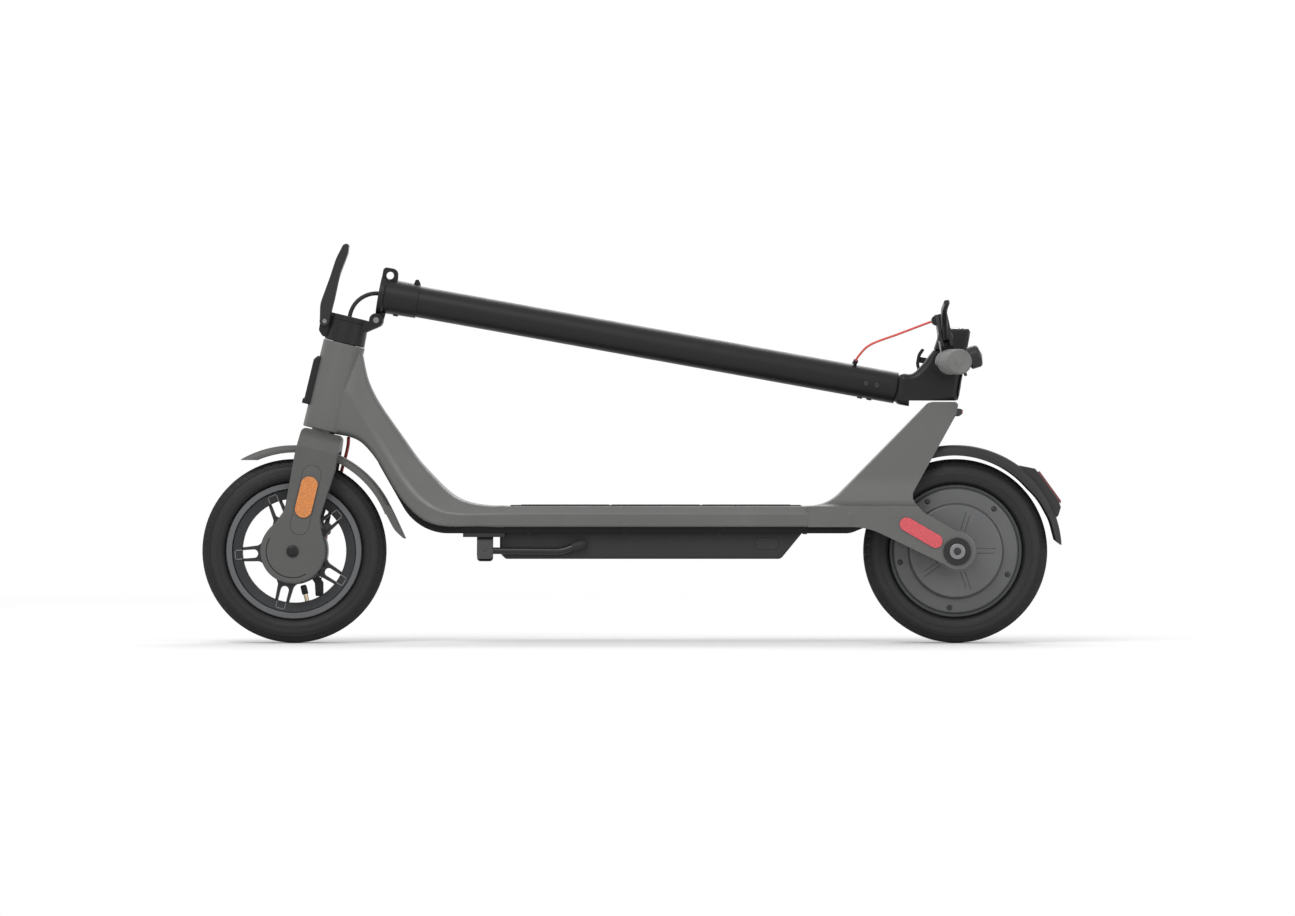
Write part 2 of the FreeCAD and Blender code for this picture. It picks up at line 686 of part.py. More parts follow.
def kickstand():
    """A clevis bracket under the plate, a bent leg that folds back along the case, and its foot."""
    top = plate("stand_top", "XY", [[
        (-230, -75.5, 3), (-172.3, -75.5, 3), (-172.3, -62.6), (-184, -62.6), (-184, -52, 3), (-230, -52, 3),
    ]], 5, d.plate_bottom - 2.5)
    cheek = [(-11, -13, 5), (11, -13, 5), (11, 30), (-11, 30)]
    inner = plate("stand_inner", "XZ", [cheek, circle(0, 0, 3)], 2.4, 6.2, STAND)
    outer = plate("stand_outer", "XZ", [cheek, circle(0, 0, 3)], 2.4, -6.2, STAND)
    joined = combine("Part::MultiFuse", "stand_joined", top, inner, outer)
    above = plate("stand_limit", "XY", [block(-250, -120, -150, 0)], 40, d.plate_bottom + 20, node=False)
    clevis = combine("Part::Cut", "stand_clevis", joined, above)
    pin = stud("stand_pin", 3, 15.6, STAND * place(y=7.8, angle=90, axis=(1, 0, 0)))
    combine("Part::Compound", "kickstand_bracket", clevis, pin)
    hub = cylinder(9.5, 0, -4.7, 0, 9.4).cut(cylinder(3 + d.running_gap, 0, -5, 0, 10))
    rod = bent_rod([(0, 0, 0), (104, -0.5, -1), (121, -2.4, 4.6)], 4.6).cut(cylinder(9, 0, -5, 0, 10))
    knee = Vector(121, -2.4, 4.6)
    along = Vector(17, -1, 5.6).normalize()
    foot = Part.makeCylinder(5.4, 12, knee, along).fuse(Part.makeSphere(5.4, knee + along * 12))
    solid("kickstand_leg", hub.multiFuse([rod, foot]).removeSplitter(), STAND)


# ---------------------------------------------------------------- wheels

def tyre(label, bead, frame):
    """A hollow tyre: a flat grooved tread, round shoulders and a bead each side."""
    crown, half = d.wheel_radius, d.tyre_half_width
    bead_face = d.rim_half_width - 3.1
    outer = [(bead - 6, bead_face, 1.2), (bead + 0.6, bead_face, 1), (bead + 4, half - 1, 6), (113, half, 12),
             (crown - 1.5, d.tread_half_width + 3, 9), (crown, 13, 2)]
    grooves = []
    for centre in (9.5, 3.2):
        grooves += [(crown, centre + 1, 0), (crown - 1.8, centre + 0.6, 0),
                    (crown - 1.8, centre - 0.6, 0), (crown, centre - 1, 0)]
    right = outer + grooves
    inside = [(bead - 6, 10), (bead + 3, 12, 3), (bead + 7, half - 5, 5), (113, half - 5, 9),
        (crown - 7, 11, 8)]
    left = [(corner[0], -corner[1]) + tuple(corner[2:]) for corner in reversed(right)]
    inside_left = [(corner[0], -corner[1]) + tuple(corner[2:]) for corner in inside]
    turned(label, "XY", [right + left + inside_left + list(reversed(inside))], frame)


def front_rim():
    """One casting: a rim with a dished band, five split spokes and a hub that holds the drum."""
    piece = Piece("front_rim", FRONT_AXLE)
    bead, half, opening = d.front_bead_radius, d.rim_half_width, d.rim_opening_radius
    piece.turn("XY", [both_sides([
        (opening, 10, 1), (84, 12.5, 0.8), (84.8, half, 1), (bead, half, 1.5), (bead, half - 2.4),
        (bead - 6.2, half - 2.8, 1),
    ])])
    slot = d.spoke_slot_width / 2
    hub = d.front_hub_radius
    spoke = piece.pad("XZ", [
        [(hub - 3, -15), (hub + 3, -11, 6), (76, -9.4), (76, 9.4), (hub + 3, 11, 6), (hub - 3, 15)],
        [(hub + 4, -slot, slot - 0.1), (74, -slot), (74, slot), (hub + 4, slot, slot - 0.1)],
    ], 13)
    piece.repeat([spoke], d.spoke_count)
    piece.turn("XY", [[
        (13.05, -29), (28, -29, 2), (42, -22, 5), (hub, -12, 2), (hub, 28, 2), (37, 28), (37, 9.2, 1),
        (13.05, 9.2), (13.05, 1.2), (11, 1.2), (11, -21), (13.05, -21),
    ]])
    piece.body.Placement = FRONT_AXLE * place(angle=-40)


def front_wheel():
    tyre("front_tyre", d.front_bead_radius, FRONT_AXLE)
    front_rim()
    inner = d.axle_radius + d.running_gap
    rings("front_hub_bearings", [ring_profile(inner, 13.05, -29, -21), ring_profile(inner, 13.05, 1.2, 9.2)],
          "XY", FRONT_AXLE)
    studs("front_valve", 3, 19, [FRONT_AXLE * place(angle=166) * place(z=52)])


def motor_cover(label, side):
    """A domed side cover: a flat face with paired grooves and a raised boss for the bearing."""
    profile = [
        (10, 45, 1), (18, 45, 3), (21, 36, 4), (26, 30, 4), (63, 30, 2), (66, 21.5, 2), (84, 20, 2),
        (d.motor_radius, 17.5), (d.motor_radius, 16.6), (67, 16.6), (60, 26.5, 2), (24, 26.5, 2), (20, 33, 2),
        (14.05, 33), (14.05, 42), (10, 42),
    ]
    piece = turned(label, "XY", [[(corner[0], side * corner[1]) + corner[2:] for corner in profile]],
        REAR_AXLE)
    slots = [block(29, 2.6, 55, 3.5), block(29, -3.5, 52, -2.6)]
    grooves = piece.cut("XZ", slots, 2, side * 30)
    turn = math.radians(47.7)
    seat = circle(d.screw_circle * math.cos(turn), d.screw_circle * math.sin(turn), 3.7)
    pocket = piece.cut("XZ", [seat], 3, side * 21.4)
    piece.repeat([grooves, pocket], d.cover_screw_count)
    return piece


def rear_wheel():
    tyre("rear_tyre", d.rear_bead_radius, REAR_AXLE)
    bead, half = d.rear_bead_radius, d.rim_half_width
    turned("rear_rim", "XY", [both_sides([
        (67, 16.4), (86.4, 16.4), (86.5, half, 1), (bead, half, 1.5), (bead, half - 2.4),
        (bead - 6.2, half - 2.8, 1),
    ])], REAR_AXLE)
    combine("Part::Compound", "motor_covers", motor_cover("cover_left", -1), motor_cover("cover_right", 1))
    frames = []
    for index in range(int(d.cover_screw_count)):
        spoke = place(angle=-47.7 - 72 * index)
        for side in (-1, 1):
            frames.append(REAR_AXLE * spoke * place(d.screw_circle, side * 20, 0, -90 * side, (1, 0, 0)))
    studs("cover_screws", 3.4, 2.2, frames)
    rings("magnet_ring", [ring_profile(59.5, 66.8, -13, 13)], "XY", REAR_AXLE)
    inner = d.rear_axle_radius + d.running_gap
    rings("motor_bearings", [ring_profile(inner, 14.05, 33, 42), ring_profile(inner, 14.05, -42, -33)],
          "XY", REAR_AXLE)


# ---------------------------------------------------------------- fork

def fork():
    """The fork casting: a crown with sloping shoulders and two legs that end in round axle plates."""
    piece = Piece("fork", HEAD)
    half, top = d.leg_outer, d.fork_top
    piece.pad("XZ", [[
        (-28, top, 6), (28, top, 6), (31, 118, 90), (25.5, 52, 26), (37, 23), (0, 0), (-36, 24),
        (-24, 52, 26), (-28.5, 130, 90),
    ]], half * 2)
    piece.pad("XZ", [circle(0, 0, d.fork_disc_radius)], half * 2)
    piece.fillet(2.5, lambda edge: lies_at(y=float(half))(edge))
    shoulder = [(25, top + 1), (45, 160, 24), (half + 4, 138), (half + 4, top + 10), (25, top + 10)]
    mirrored = [(-corner[0], corner[1]) + corner[2:] for corner in shoulder]
    piece.cut("YZ", [shoulder, mirrored], 120)
    inner = d.leg_inner
    piece.cut("YZ", [[(-inner, -60), (inner, -60), (inner, d.arch_top, 16), (-inner, d.arch_top, 16)]], 120)
    recess = block(0.6 - d.cover_half_width, d.cover_low - 0.4, 1.4 + d.cover_half_width,
        d.cover_high + 0.4, 12.8)
    piece.cut("XZ", [recess], 3, half)
    piece.cut("XZ", [recess], 3, -half)
    piece.cut("XZ", [circle(0, 0, d.axle_radius)], 200)
    piece.cut("XY", [circle(0, 0, d.steerer_radius)], 60, top)


def steerer_tube():
    radius = d.steerer_radius
    turned("steerer_tube", "XZ", [ring_profile(radius - 2.8, radius, d.arch_top + 2, d.collar_top - 8)], HEAD)


def fork_trim():
    """The side covers with their orange reflectors, and the axle with its spacer and end caps."""
    low, high, half = d.cover_low, d.cover_high, d.cover_half_width
    pair("fork_side_covers", "XZ", [block(1 - half, low, 1 + half, high, 12.4)],
        1.9, d.leg_outer - 0.55, HEAD)
    middle, reach = d.reflector_centre, d.reflector_half_length
    lens = block(1 - d.reflector_half_width, middle - reach, 1 + d.reflector_half_width, middle + reach, 11.4)
    pair("front_reflectors", "XZ", [lens], 2, d.leg_outer + 1.4, HEAD)
    radius, end = d.axle_radius, d.leg_outer
    turned("front_axle", "XY", [[
        (0, -end), (radius, -end), (radius, -d.leg_inner), (10, -d.leg_inner, 0.4), (10, -29.3, 0.4),
        (radius, -29.3), (radius, end), (0, end),
    ]], HEAD)
    rings("front_axle_caps", [
        [(0, end), (8.2, end, 0.5), (8.2, end + 2, 1), (5, end + 3.6, 3), (0, end + 3.6)],
        [(0, -end), (8.2, -end, 0.5), (8.2, -end - 2, 1), (5, -end - 3.6, 3), (0, -end - 3.6)],
    ], "XY", HEAD)


def front_mudguard():
    """A guard that arches over the front tyre and flares outward behind it."""
    outer, inner, half, wall = 145, 135, 31, 2.5
    guard = turned("front_arch", "XY", [[
        (inner, half), (outer, half, 7), (outer, -half, 7), (inner, -half), (inner, wall - half),
        (outer - wall, wall - half, 5), (outer - wall, half - wall, 5), (inner, half - wall),
    ]], FRONT_AXLE)
    guard.cut("XZ", [[(0, 0), (200, 80), (200, -200), (-200, -200), (-200, 200), (-150, 260)]], 90)
    guard.cut("XZ", [[(-73, 124.5), (-50, 124.5), (-20, 133.8), (-20, 100), (-90, 100)]], 90)
    flare = plate("front_flare", "XZ", [[
        (131.3, 61.6), (137, 50), (152.3, 16.8), (149, 18.5, 4), (138, 28.5, 40), (118, 67),
    ]], half * 2, 0, FRONT_AXLE)
    flare.cut("XZ", [[(128.4, 61), (134, 49), (148.5, 17.8), (140, 10), (110, 40), (114, 66)]],
              (half - wall) * 2)
    boss = plate("front_boss", "XY", [block(-12, -14, 12, 14, 3)], 8, d.arch_top - 4, HEAD)
    space = plate("boss_limit", "XZ", [circle(0, 0, outer - 1)], 60, 0, FRONT_AXLE, node=False)
    seat = combine("Part::Cut", "front_seat", boss, space)
    combine("Part::MultiFuse", "front_mudguard", guard, flare, seat)


def drum_brake():
    """The plate that closes the drum, with its cable stop, the two shoes, and the arm on its cam."""
    cover = turned("drum_cover", "XY", [[
        (d.axle_radius, 9.6), (10, 9.6), (10, 30.5, 1), (41, 30.5, 1), (41, 34, 1), (15, 36, 3), (12, 40, 2),
        (12, d.leg_inner), (d.axle_radius, d.leg_inner),
    ]], FRONT_AXLE)
    cover.pad("XZ", [[(16, 28), (24, 18), (48, 22, 4), (49, 37, 3), (39, 38, 3)]], 3, 34.5)
    cover.pad("XY", [circle(43, 38.8, 3.6)], 18, 31)
    cover.cut("XZ", [circle(13.5, -23.4, 4)], 60, 34)
    shoes = turned("brake_shoes", "XY", [block(29, 12, 36.3, 27, 1)], FRONT_AXLE * place(angle=60))
    shoes.cut("XZ", [block(-60, -7.5, 60, 7.5)], 60, 20)
    combine("Part::Compound", "brake_drum_plate", cover, shoes)
    arm = Piece("brake_arm", FRONT_AXLE)
    arm.pad("XZ", [[(8, -19, 5), (19, -17, 5), (38, -44, 3), (38, -63, 2), (27, -63, 2),
        (26, -45, 6)]], 3, 38.2)
    arm.pad("XZ", [circle(13.5, -23.4, 4 - d.running_gap)], 17, 31.2)
    arm.pad("XZ", [block(-2.6 + 13.5, -31, 2.6 + 13.5, -20)], 8, 20)
    arm.pad("XZ", [block(27.5, -62.5, 37.5, -46, 2)], 5, 40)


def brake_cable_lower():
    """From the neck's underside, round behind the fork leg, down to the cable stop and the arm."""
    points = [(-389.5, 14, 281.1), (-390.5, 23, 271), (-393.5, 33.8, 259), (-399, 38.6, 240),
              (-404.5, 39.2, 218), (-413, 39.2, 188), (-420, 38.8, 166.4)]
    sleeve = bent_rod(points, 2.4)
    wire = bent_rod([(-420, 38.8, 147.6), (-423.5, 39.6, 110), (-430, 41, 81)], 0.9)
    solid("brake_cable_lower", Part.makeCompound([sleeve, wire]))


# ---------------------------------------------------------------- folding joint

def hinge_collar():
    """The collar on the steerer: two ears for the fold pin behind, a lug for the lever in front."""
    piece = Piece("hinge_collar", HEAD)
    low, top, radius = d.collar_bottom, d.collar_top, d.collar_radius
    piece.turn("XZ", [[
        (d.steerer_radius, low), (radius, low, 1), (radius - 1.6, top - 7.4), (radius - 0.6, top - 7, 0.3),
        (radius - 0.6, top, 1.5), (6, top, 0.5), (6, top - 8), (d.steerer_radius, top - 8),
    ]])
    ear = [(12, 303), (28.3, 316.5, 3), (43.2, 327.6), (27.6, top - 0.2), (12, 328)]
    pin_x, pin_z = d.fold_pin_w, d.fold_pin_s
    width = d.ear_outer - d.ear_inner
    middle = (d.ear_outer + d.ear_inner) / 2
    for side in (-1, 1):
        piece.pad("XZ", [ear], width, side * middle)
        piece.pad("XZ", [circle(pin_x, pin_z, d.knuckle_radius)], width, side * middle)
    piece.cut("XZ", [circle(pin_x, pin_z, d.knuckle_radius + 0.8)], d.ear_inner * 2)
    piece.pad("XZ", [[(-20, 296), (-31, 295.5, 4), (-38, 302, 6), (-39.5, 320, 4), (-36, 325, 3),
        (-20, 325)]], 18.8)
    piece.cut("XZ", [circle(pin_x, pin_z, d.pin_radius)], 60)
    piece.cut("XZ", [circle(d.latch_pin_w, d.latch_pin_s, d.latch_pin_radius)], 60)
    piece.cut("XY", [circle(0, 0, d.steerer_radius)], top - 8 - low + 10, (top - 8 + low) / 2 - 5)


def hinge_pins():
    """The fold pin and the lever's pin."""
    fold_pin = stud("fold_pin", d.pin_radius, 38, FOLD_PIN * place(y=19, angle=90, axis=(1, 0, 0)))
    lever_frame = HEAD * place(d.latch_pin_w, 15, d.latch_pin_s, 90, (1, 0, 0))
    lever_pin = stud("lever_pin", d.latch_pin_radius, 30, lever_frame)
    combine("Part::Compound", "hinge_pins", fold_pin, lever_pin)


def harness_loop():
    """The wiring that crosses the folding joint in an arc about the pin, from collar to flange."""
    loop = DOCUMENT.addObject("Part::Torus", "harness_loop")
    loop.Label = "harness_loop"
    drive(loop, "Radius1", d.harness_bend)
    drive(loop, "Radius2", d.harness_radius)
    drive(loop, "Angle3", d.fold_angle + 10)
    loop.Placement = FOLD_PIN * place(angle=90, axis=(1, 0, 0)) * place(angle=93.5, axis=(0, 0, 1))
    NODES.append(loop)


def fold_lever():
    """The latch lever: two arms beside the lug, joined by a web along their front edges."""
    piece = Piece("fold_lever", HEAD)
    piece.pad("XZ", [[
        (-39, 312, 4), (-44.6, 338, 40), (-40, 377, 70), (-38, 403, 60), (-32.5, 426, 6), (-25, 427, 3),
        (-23.6, 414, 12), (-28, 380, 60), (-27.2, 350, 20), (-27.4, 334, 10), (-26.4, 322, 4),
        (-27.5, 312, 4),
    ]], 28)
    piece.pad("XZ", [circle(d.latch_pin_w, d.latch_pin_s, 7)], 28)
    piece.fillet(1.5, lambda edge: lies_at(y=14)(edge))
    piece.cut("XZ", [[(-41.2, 330), (-41.6, 340, 40), (-39.4, 366, 20), (-35, 384, 6), (-15, 384),
        (-15, 330)]], 20)
    piece.cut("XZ", [block(-60, 300, -10, 331.5)], 20)
    piece.cut("XZ", [circle(d.latch_pin_w, d.latch_pin_s, d.latch_pin_radius + d.running_gap)], 60)


def stem_flange():
    """The flange on the stem's foot: the knuckle for the fold pin, the latch eye and a sleeve."""
    piece = Piece("stem_flange", STEM)
    thick = d.flange_thickness
    piece.turn("XZ", [[
        (8, 0.4), (27, 0.4, 1), (27, thick, 1.5), (24, thick + 2.4, 1), (23, 55, 0.5), (d.stem_radius, 55),
        (d.stem_radius, thick), (8, thick),
    ]])
    piece.cut("XZ", [block(25.2, -5, 40, 60)], 80)
    pin_x, pin_z = d.fold_pin_w, d.fold_pin_s - d.collar_top
    width = d.ear_inner * 2 - 0.6
    piece.pad("XZ", [[(22, 0.5), (28.6, 0.5), (33, -4.5), (43.4, -1, 4), (37, 12.6), (24, 14)]], width)
    piece.pad("XZ", [circle(pin_x, pin_z, d.knuckle_radius)], width)
    piece.cut("XZ", [circle(pin_x, pin_z, d.pin_radius + d.running_gap)], 40)
    eye_x, eye_z = -d.eye_forward, d.eye_height
    piece.pad("XZ", [[(-22.5, 0.5), (-38.6, 0.5, 5), (-38.6, 20.8, 8), (-21, 23, 2)]], d.eye_half_width * 2)
    piece.cut("XZ", [circle(eye_x, eye_z, d.eye_radius)], 30)
    piece.pad("XZ", [[(-22.6, 45), (-29, 46.6, 1.5), (-30, 50.5, 1.2), (-25, 54), (-22.6, 54.5)]], 5)


def stem_tube():
    radius = d.stem_radius
    turned("stem_tube", "XZ", [[
        (radius - d.stem_wall, d.flange_thickness), (radius, d.flange_thickness),
        (radius, d.head_start), (radius - d.stem_wall, d.head_start),
    ]], STEM)


def stem_screws():
    """Screw heads on the stem, and the brake lever's pin."""
    frames = [STEM * place(23.7, 0, 27.8, 90), STEM * place(21.55, 0, 675, 90), STEM * place(21.55, 0,
        688, 90)]
    frames += [STEM * place(1.5, -21.6, along, 90, (1, 0, 0)) for along in (680, 695)]
    heads = studs("screw_heads", 3.6, 1.6, frames)
    pin = stud("brake_pin", 2.5, 17, BRAKE * place(d.brake_pivot_x, d.brake_pivot_y, -8.5))
    combine("Part::Compound", "stem_screws", heads, pin)


def stem_head():
    """The casting at the stem's top: it carries the bar forward and the dash above it."""
    piece = Piece("head_casting", STEM)
    start, top, radius = d.head_start, d.dash_top - 1.6, d.stem_radius
    bar_x, bar_z = -d.bar_forward, d.bar_height
    piece.pad("XZ", [[
        (radius, start), (radius, 757, 20), (3, top, 4), (-62, top), (-62, 764, 6), (-40, 753, 14),
        (-radius, 741, 16), (-radius, start),
    ]], d.head_half_width * 2)
    piece.fillet(9, lambda edge: lies_at(y=float(d.head_half_width))(edge) and edge.BoundBox.ZMax < 770)
    piece.pad("XZ", [circle(bar_x, bar_z, 17.5)], 72)
    piece.pad("XY", [circle(0, 0, radius - d.stem_wall)], 30, start - 5)
    piece.cut("XZ", [circle(bar_x, bar_z, d.bar_radius)], 100)
    piece.cut("XY", [block(-20.5, -5.5, -3.5, 5.5, 4.5)], 6, top)
    notch = plate("tower_space", "XZ", [block(380, 290, 470, d.tower_top + 2)], 90, node=False)
    combine("Part::Cut", "stem_head", piece, notch)


def headlight():
    """The lamp under the dash's front end, and its round lens."""
    face = STEM * place(-94, 0, 787, -100.4)
    top = d.dash_top - 1.6
    outline = [(-62, 764), (-90.5, 768, 6), (-97.5, top, 2), (-62, top)]
    body = plate("lamp_body", "XZ", [outline], d.head_half_width * 2, 0, STEM)
    body.fillet(4, lambda edge: lies_at(y=float(d.head_half_width))(edge) and edge.BoundBox.XMax < -62.5)
    body.cut("XZ", [circle(-d.bar_forward, d.bar_height, 17.55)], 80)
    socket = plate("lamp_socket", "XY", [circle(0, 0, 14)], 12, 3, face, node=False)
    combine("Part::Cut", "headlight_housing", body, socket)
    turned("headlight_lens", "XZ", [[(0, -2.9), (14, -2.9), (14, 0.6, 0.5), (9, 2.2, 10), (0, 2.2)]], face)


def dash():
    """The display panel on top of the head, and the power button that sinks into it."""
    panel = plate("dash_panel", "XY", [block(-96.5, -21.5, 1.5, 21.5, 14)], 1.6, d.dash_top - 0.8, STEM)
    panel.cut("XY", [block(-20.5, -5.5, -3.5, 5.5, 4.5)], 6, d.dash_top)
    button = plate("power_button", "XY", [block(-20.1, -5.1, -3.9, 5.1, 4.2)], 3.4, d.dash_top - 0.7, STEM)
    button.fillet(0.5, lambda edge: abs(edge.BoundBox.ZMin - edge.BoundBox.ZMax) < 0.01)


def handlebar():
    reach = 168.2
    sweep = math.radians(d.bar_sweep)
    end_y, end_z = d.bar_bend + reach * math.cos(sweep), reach * math.sin(sweep)
    points = [(0, -end_y, end_z), (0, -d.bar_bend, 0), (0, d.bar_bend, 0), (0, end_y, end_z)]
    solid("handlebar", bent_rod(points, d.bar_radius, 120), BAR)


def grips():
    """The rubber grips: a flange at the inner end, a closed outer end."""
    profile = [
        (d.bar_radius, d.grip_start), (18.4, d.grip_start, 1.5), (18.4, d.grip_start + 3.5, 1.5),
        (16.4, d.grip_start + 6, 2), (d.grip_radius, 100, 30), (d.grip_radius, 168, 3), (14, 170, 2),
        (0, 170),
        (0, 168.2), (d.bar_radius, 168.2),
    ]
    mirrored = [(corner[0], -corner[1]) + corner[2:] for corner in profile]
    left = turned("grip_left", "XY", [mirrored], BAR_LEFT)
    right = turned("grip_right", "XY", [profile], BAR_RIGHT)
    combine("Part::Compound", "grips", left, right)


def brake_controls():
    """The brake lever in its clamp, with the cable's adjuster."""
    pivot = (d.brake_pivot_x, d.brake_pivot_y)
    clamp = Piece("brake_clamp", BRAKE)
    clamp.turn("XY", [block(d.bar_radius, -8, 16, 8, 1)])
    clamp.pad("XY", [[(13, -7), (22, -10, 4), (44, -9, 4), (66, 3, 4), (66, 12, 5), (28, 12, 6),
        (13, 7)]], 17)
    clamp.cut("XY", [block(20, -30, 80, 6.5)], 8.6)
    clamp.pad("XZ", [circle(58, 7, 7)], 9, 8)
    clamp.pad("XZ", [circle(58, 7, 4.4)], 20, 17)
    clamp.cut("XY", [circle(*pivot, 2.5)], 40)
    clamp.cut("XZ", [circle(58, 7, 2)], 24, 20)
    lever = Piece("brake_lever", BRAKE)
    lever.pad("XY", [[
        (26, -4, 4), (34, 6, 5), (43, 4, 5), (56, -12, 12), (74, -38, 40), (84, -92), (78, -93),
        (68, -46, 50),
        (50, -22, 16), (30, -12, 5),
    ]], 7.6)
    lever.fillet(2, lambda edge: edge.BoundBox.ZLength < 0.01 and edge.BoundBox.YMin < -20)
    lever.cut("XY", [circle(*pivot, 2.5 + d.running_gap)], 30)


def brake_cable_upper():
    """From the lever's adjuster, in a slack curve, to the front of the stem."""
    start, onward = [BRAKE.multVec(Vector(58, y, 7)) for y in (21, 46)]
    inward, end = [STEM.multVec(Vector(*point)) for point in ((-47, -19, 668), (-22.6, -3, 659.6))]
    solid("brake_cable_upper", bent_rod([start, onward, inward, end], 1.6))


def throttle():
    """The accelerator beside the right grip: a fixed ring on the bar and a thumb paddle."""
    turned("throttle_housing", "XY", [ring_profile(d.bar_radius, 17, 28, 50, 1.5)], BAR_RIGHT)
    ring = ring_profile(d.bar_radius + d.running_gap, 16, 16, 27, 1)
    paddle = turned("throttle_paddle", "XY", [ring], BAR_RIGHT)
    paddle.pad("XZ", [block(-4, -32, 4, -14)], 11, 21.5)
    paddle.pad("XZ", [[
        (-15, -27, 1), (-16, -30.5, 1.5), (-7, -35, 14), (7, -35, 14), (16, -30.5, 1.5), (15, -27, 1),
        (6, -31, 14), (-6, -31, 14),
    ]], 18, 21.5)


def bell():
    """A bell clamped on the bar, with a dome on a post and a striker that turns about the post."""
    clamp = turned("bell_clamp", "XY", [ring_profile(d.bar_radius, 15.5, -6, 6, 1)], BELL)
    clamp.pad("XY", [circle(0, 0, 6)], 17.6, 21.3)
    dome = turned("bell_dome", "XZ", [[
        (0, 29.6), (13, 29.6), (15.5, 31, 1), (15.5, 45, 4), (0, 49),
    ]], BELL * place(4.6))
    combine("Part::MultiFuse", "bell", clamp, dome)
    striker = plate("bell_lever", "XY", [circle(0, 0, 9)], 3.5, 19.2, BELL)
    striker.pad("XY", [block(6, -4, 26, 4, 3)], 3.5, 19.2)
    striker.cut("XY", [circle(0, 0, 6 + d.running_gap)], 10, 19.2)


def all_subparts():
    """Builds every sub-part."""
    frame = main_frame()
    deck_mat()
    bottom_plate(frame)
    battery_case()
    port_cover()
    battery_pack()
    controller_box()
    head_trim()
    headset_bearings()
    rear_mudguard()
    tail_light_lens()
    rear_axle_set()
    motor_stator()
    rear_reflectors()
    catch_button()
    plate_screws()
    kickstand()
    front_wheel()
    rear_wheel()
    fork()
    steerer_tube()
    fork_trim()
    front_mudguard()
    drum_brake()
    brake_cable_lower()
    hinge_collar()
    hinge_pins()
    harness_loop()
    fold_lever()
    stem_flange()
    stem_tube()
    stem_screws()
    stem_head()
    headlight()
    dash()
    handlebar()
    grips()
    brake_controls()
    brake_cable_upper()
    throttle()
    bell()


def check_and_write():
    """Stops if any object failed or any shape is unsound, then writes one STEP file per node."""
    DOCUMENT.recompute()
    for item in DOCUMENT.Objects:
        if "Invalid" in item.State or "Error" in item.State:
            raise SystemExit(f"{item.Label} failed: {item.State}")
    for node in NODES:
        if node.Shape.isNull() or not node.Shape.isValid():
            raise SystemExit(f"{node.Label} has an unsound shape")
    os.makedirs("parts", exist_ok=True)
    for node in NODES:
        node.Shape.exportStep(f"parts/{node.Label}.step")


all_subparts()
check_and_write()
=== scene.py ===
# A folded electric kick scooter: materials and fine detail around its CAD frame.
import math

import bmesh
import bpy
from mathutils import Matrix, Vector


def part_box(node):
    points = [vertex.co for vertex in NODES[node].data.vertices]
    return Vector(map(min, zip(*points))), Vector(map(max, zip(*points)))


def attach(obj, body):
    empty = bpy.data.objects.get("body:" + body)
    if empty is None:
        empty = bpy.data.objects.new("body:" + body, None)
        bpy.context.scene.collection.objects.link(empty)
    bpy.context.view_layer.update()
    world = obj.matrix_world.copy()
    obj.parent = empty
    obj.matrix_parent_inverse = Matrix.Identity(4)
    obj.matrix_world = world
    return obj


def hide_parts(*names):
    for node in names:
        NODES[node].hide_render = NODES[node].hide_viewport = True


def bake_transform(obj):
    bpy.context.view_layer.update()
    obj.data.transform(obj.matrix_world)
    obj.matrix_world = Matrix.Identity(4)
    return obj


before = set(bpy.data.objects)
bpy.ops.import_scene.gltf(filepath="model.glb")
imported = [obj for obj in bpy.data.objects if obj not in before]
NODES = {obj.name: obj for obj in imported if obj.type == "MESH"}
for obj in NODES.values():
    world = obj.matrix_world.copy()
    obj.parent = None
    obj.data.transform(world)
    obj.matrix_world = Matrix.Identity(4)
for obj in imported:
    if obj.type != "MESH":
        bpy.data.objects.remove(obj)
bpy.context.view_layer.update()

MM = 0.001
FOLD_ANGLE = 86.74
HARNESS_BEND = 37.15
SCREW_CIRCLE = 78
FLOOR_RADIUS = 40


def place(x=0, y=0, z=0, angle=0, axis="Y"):
    """A frame at a point in millimetres, turned by an angle in degrees."""
    return Matrix.Translation(Vector((x, y, z)) * MM) @ Matrix.Rotation(math.radians(angle), 4, axis)


FRONT_AXLE = place(-463, 0, 126)
REAR_AXLE = place(444, 0, 126)
HEAD = place(-463, 0, 126, 13.5)
FOLD_PIN = HEAD @ place(35.5, 0, 333.8)
STEM = FOLD_PIN @ place(angle=FOLD_ANGLE) @ place(-35.5, 0, -3.4)
BAR = STEM @ place(-45.9, 0, 779.9)
BAR_RIGHT = BAR @ place(0, 75, 0, 3.9, "X")
BAR_LEFT = BAR @ place(0, -75, 0, -3.9, "X")
BRAKE = BAR_LEFT @ place(0, -38, 0, 160.8)
STAND = place(-200, -68, 127) @ Matrix.Rotation(math.radians(17.7), 4, Vector((-1, 0, 0)))


# ---------------------------------------------------------------- materials

def shade(colour, factor):
    return tuple(channel * factor for channel in colour[:3]) + (1.0,)


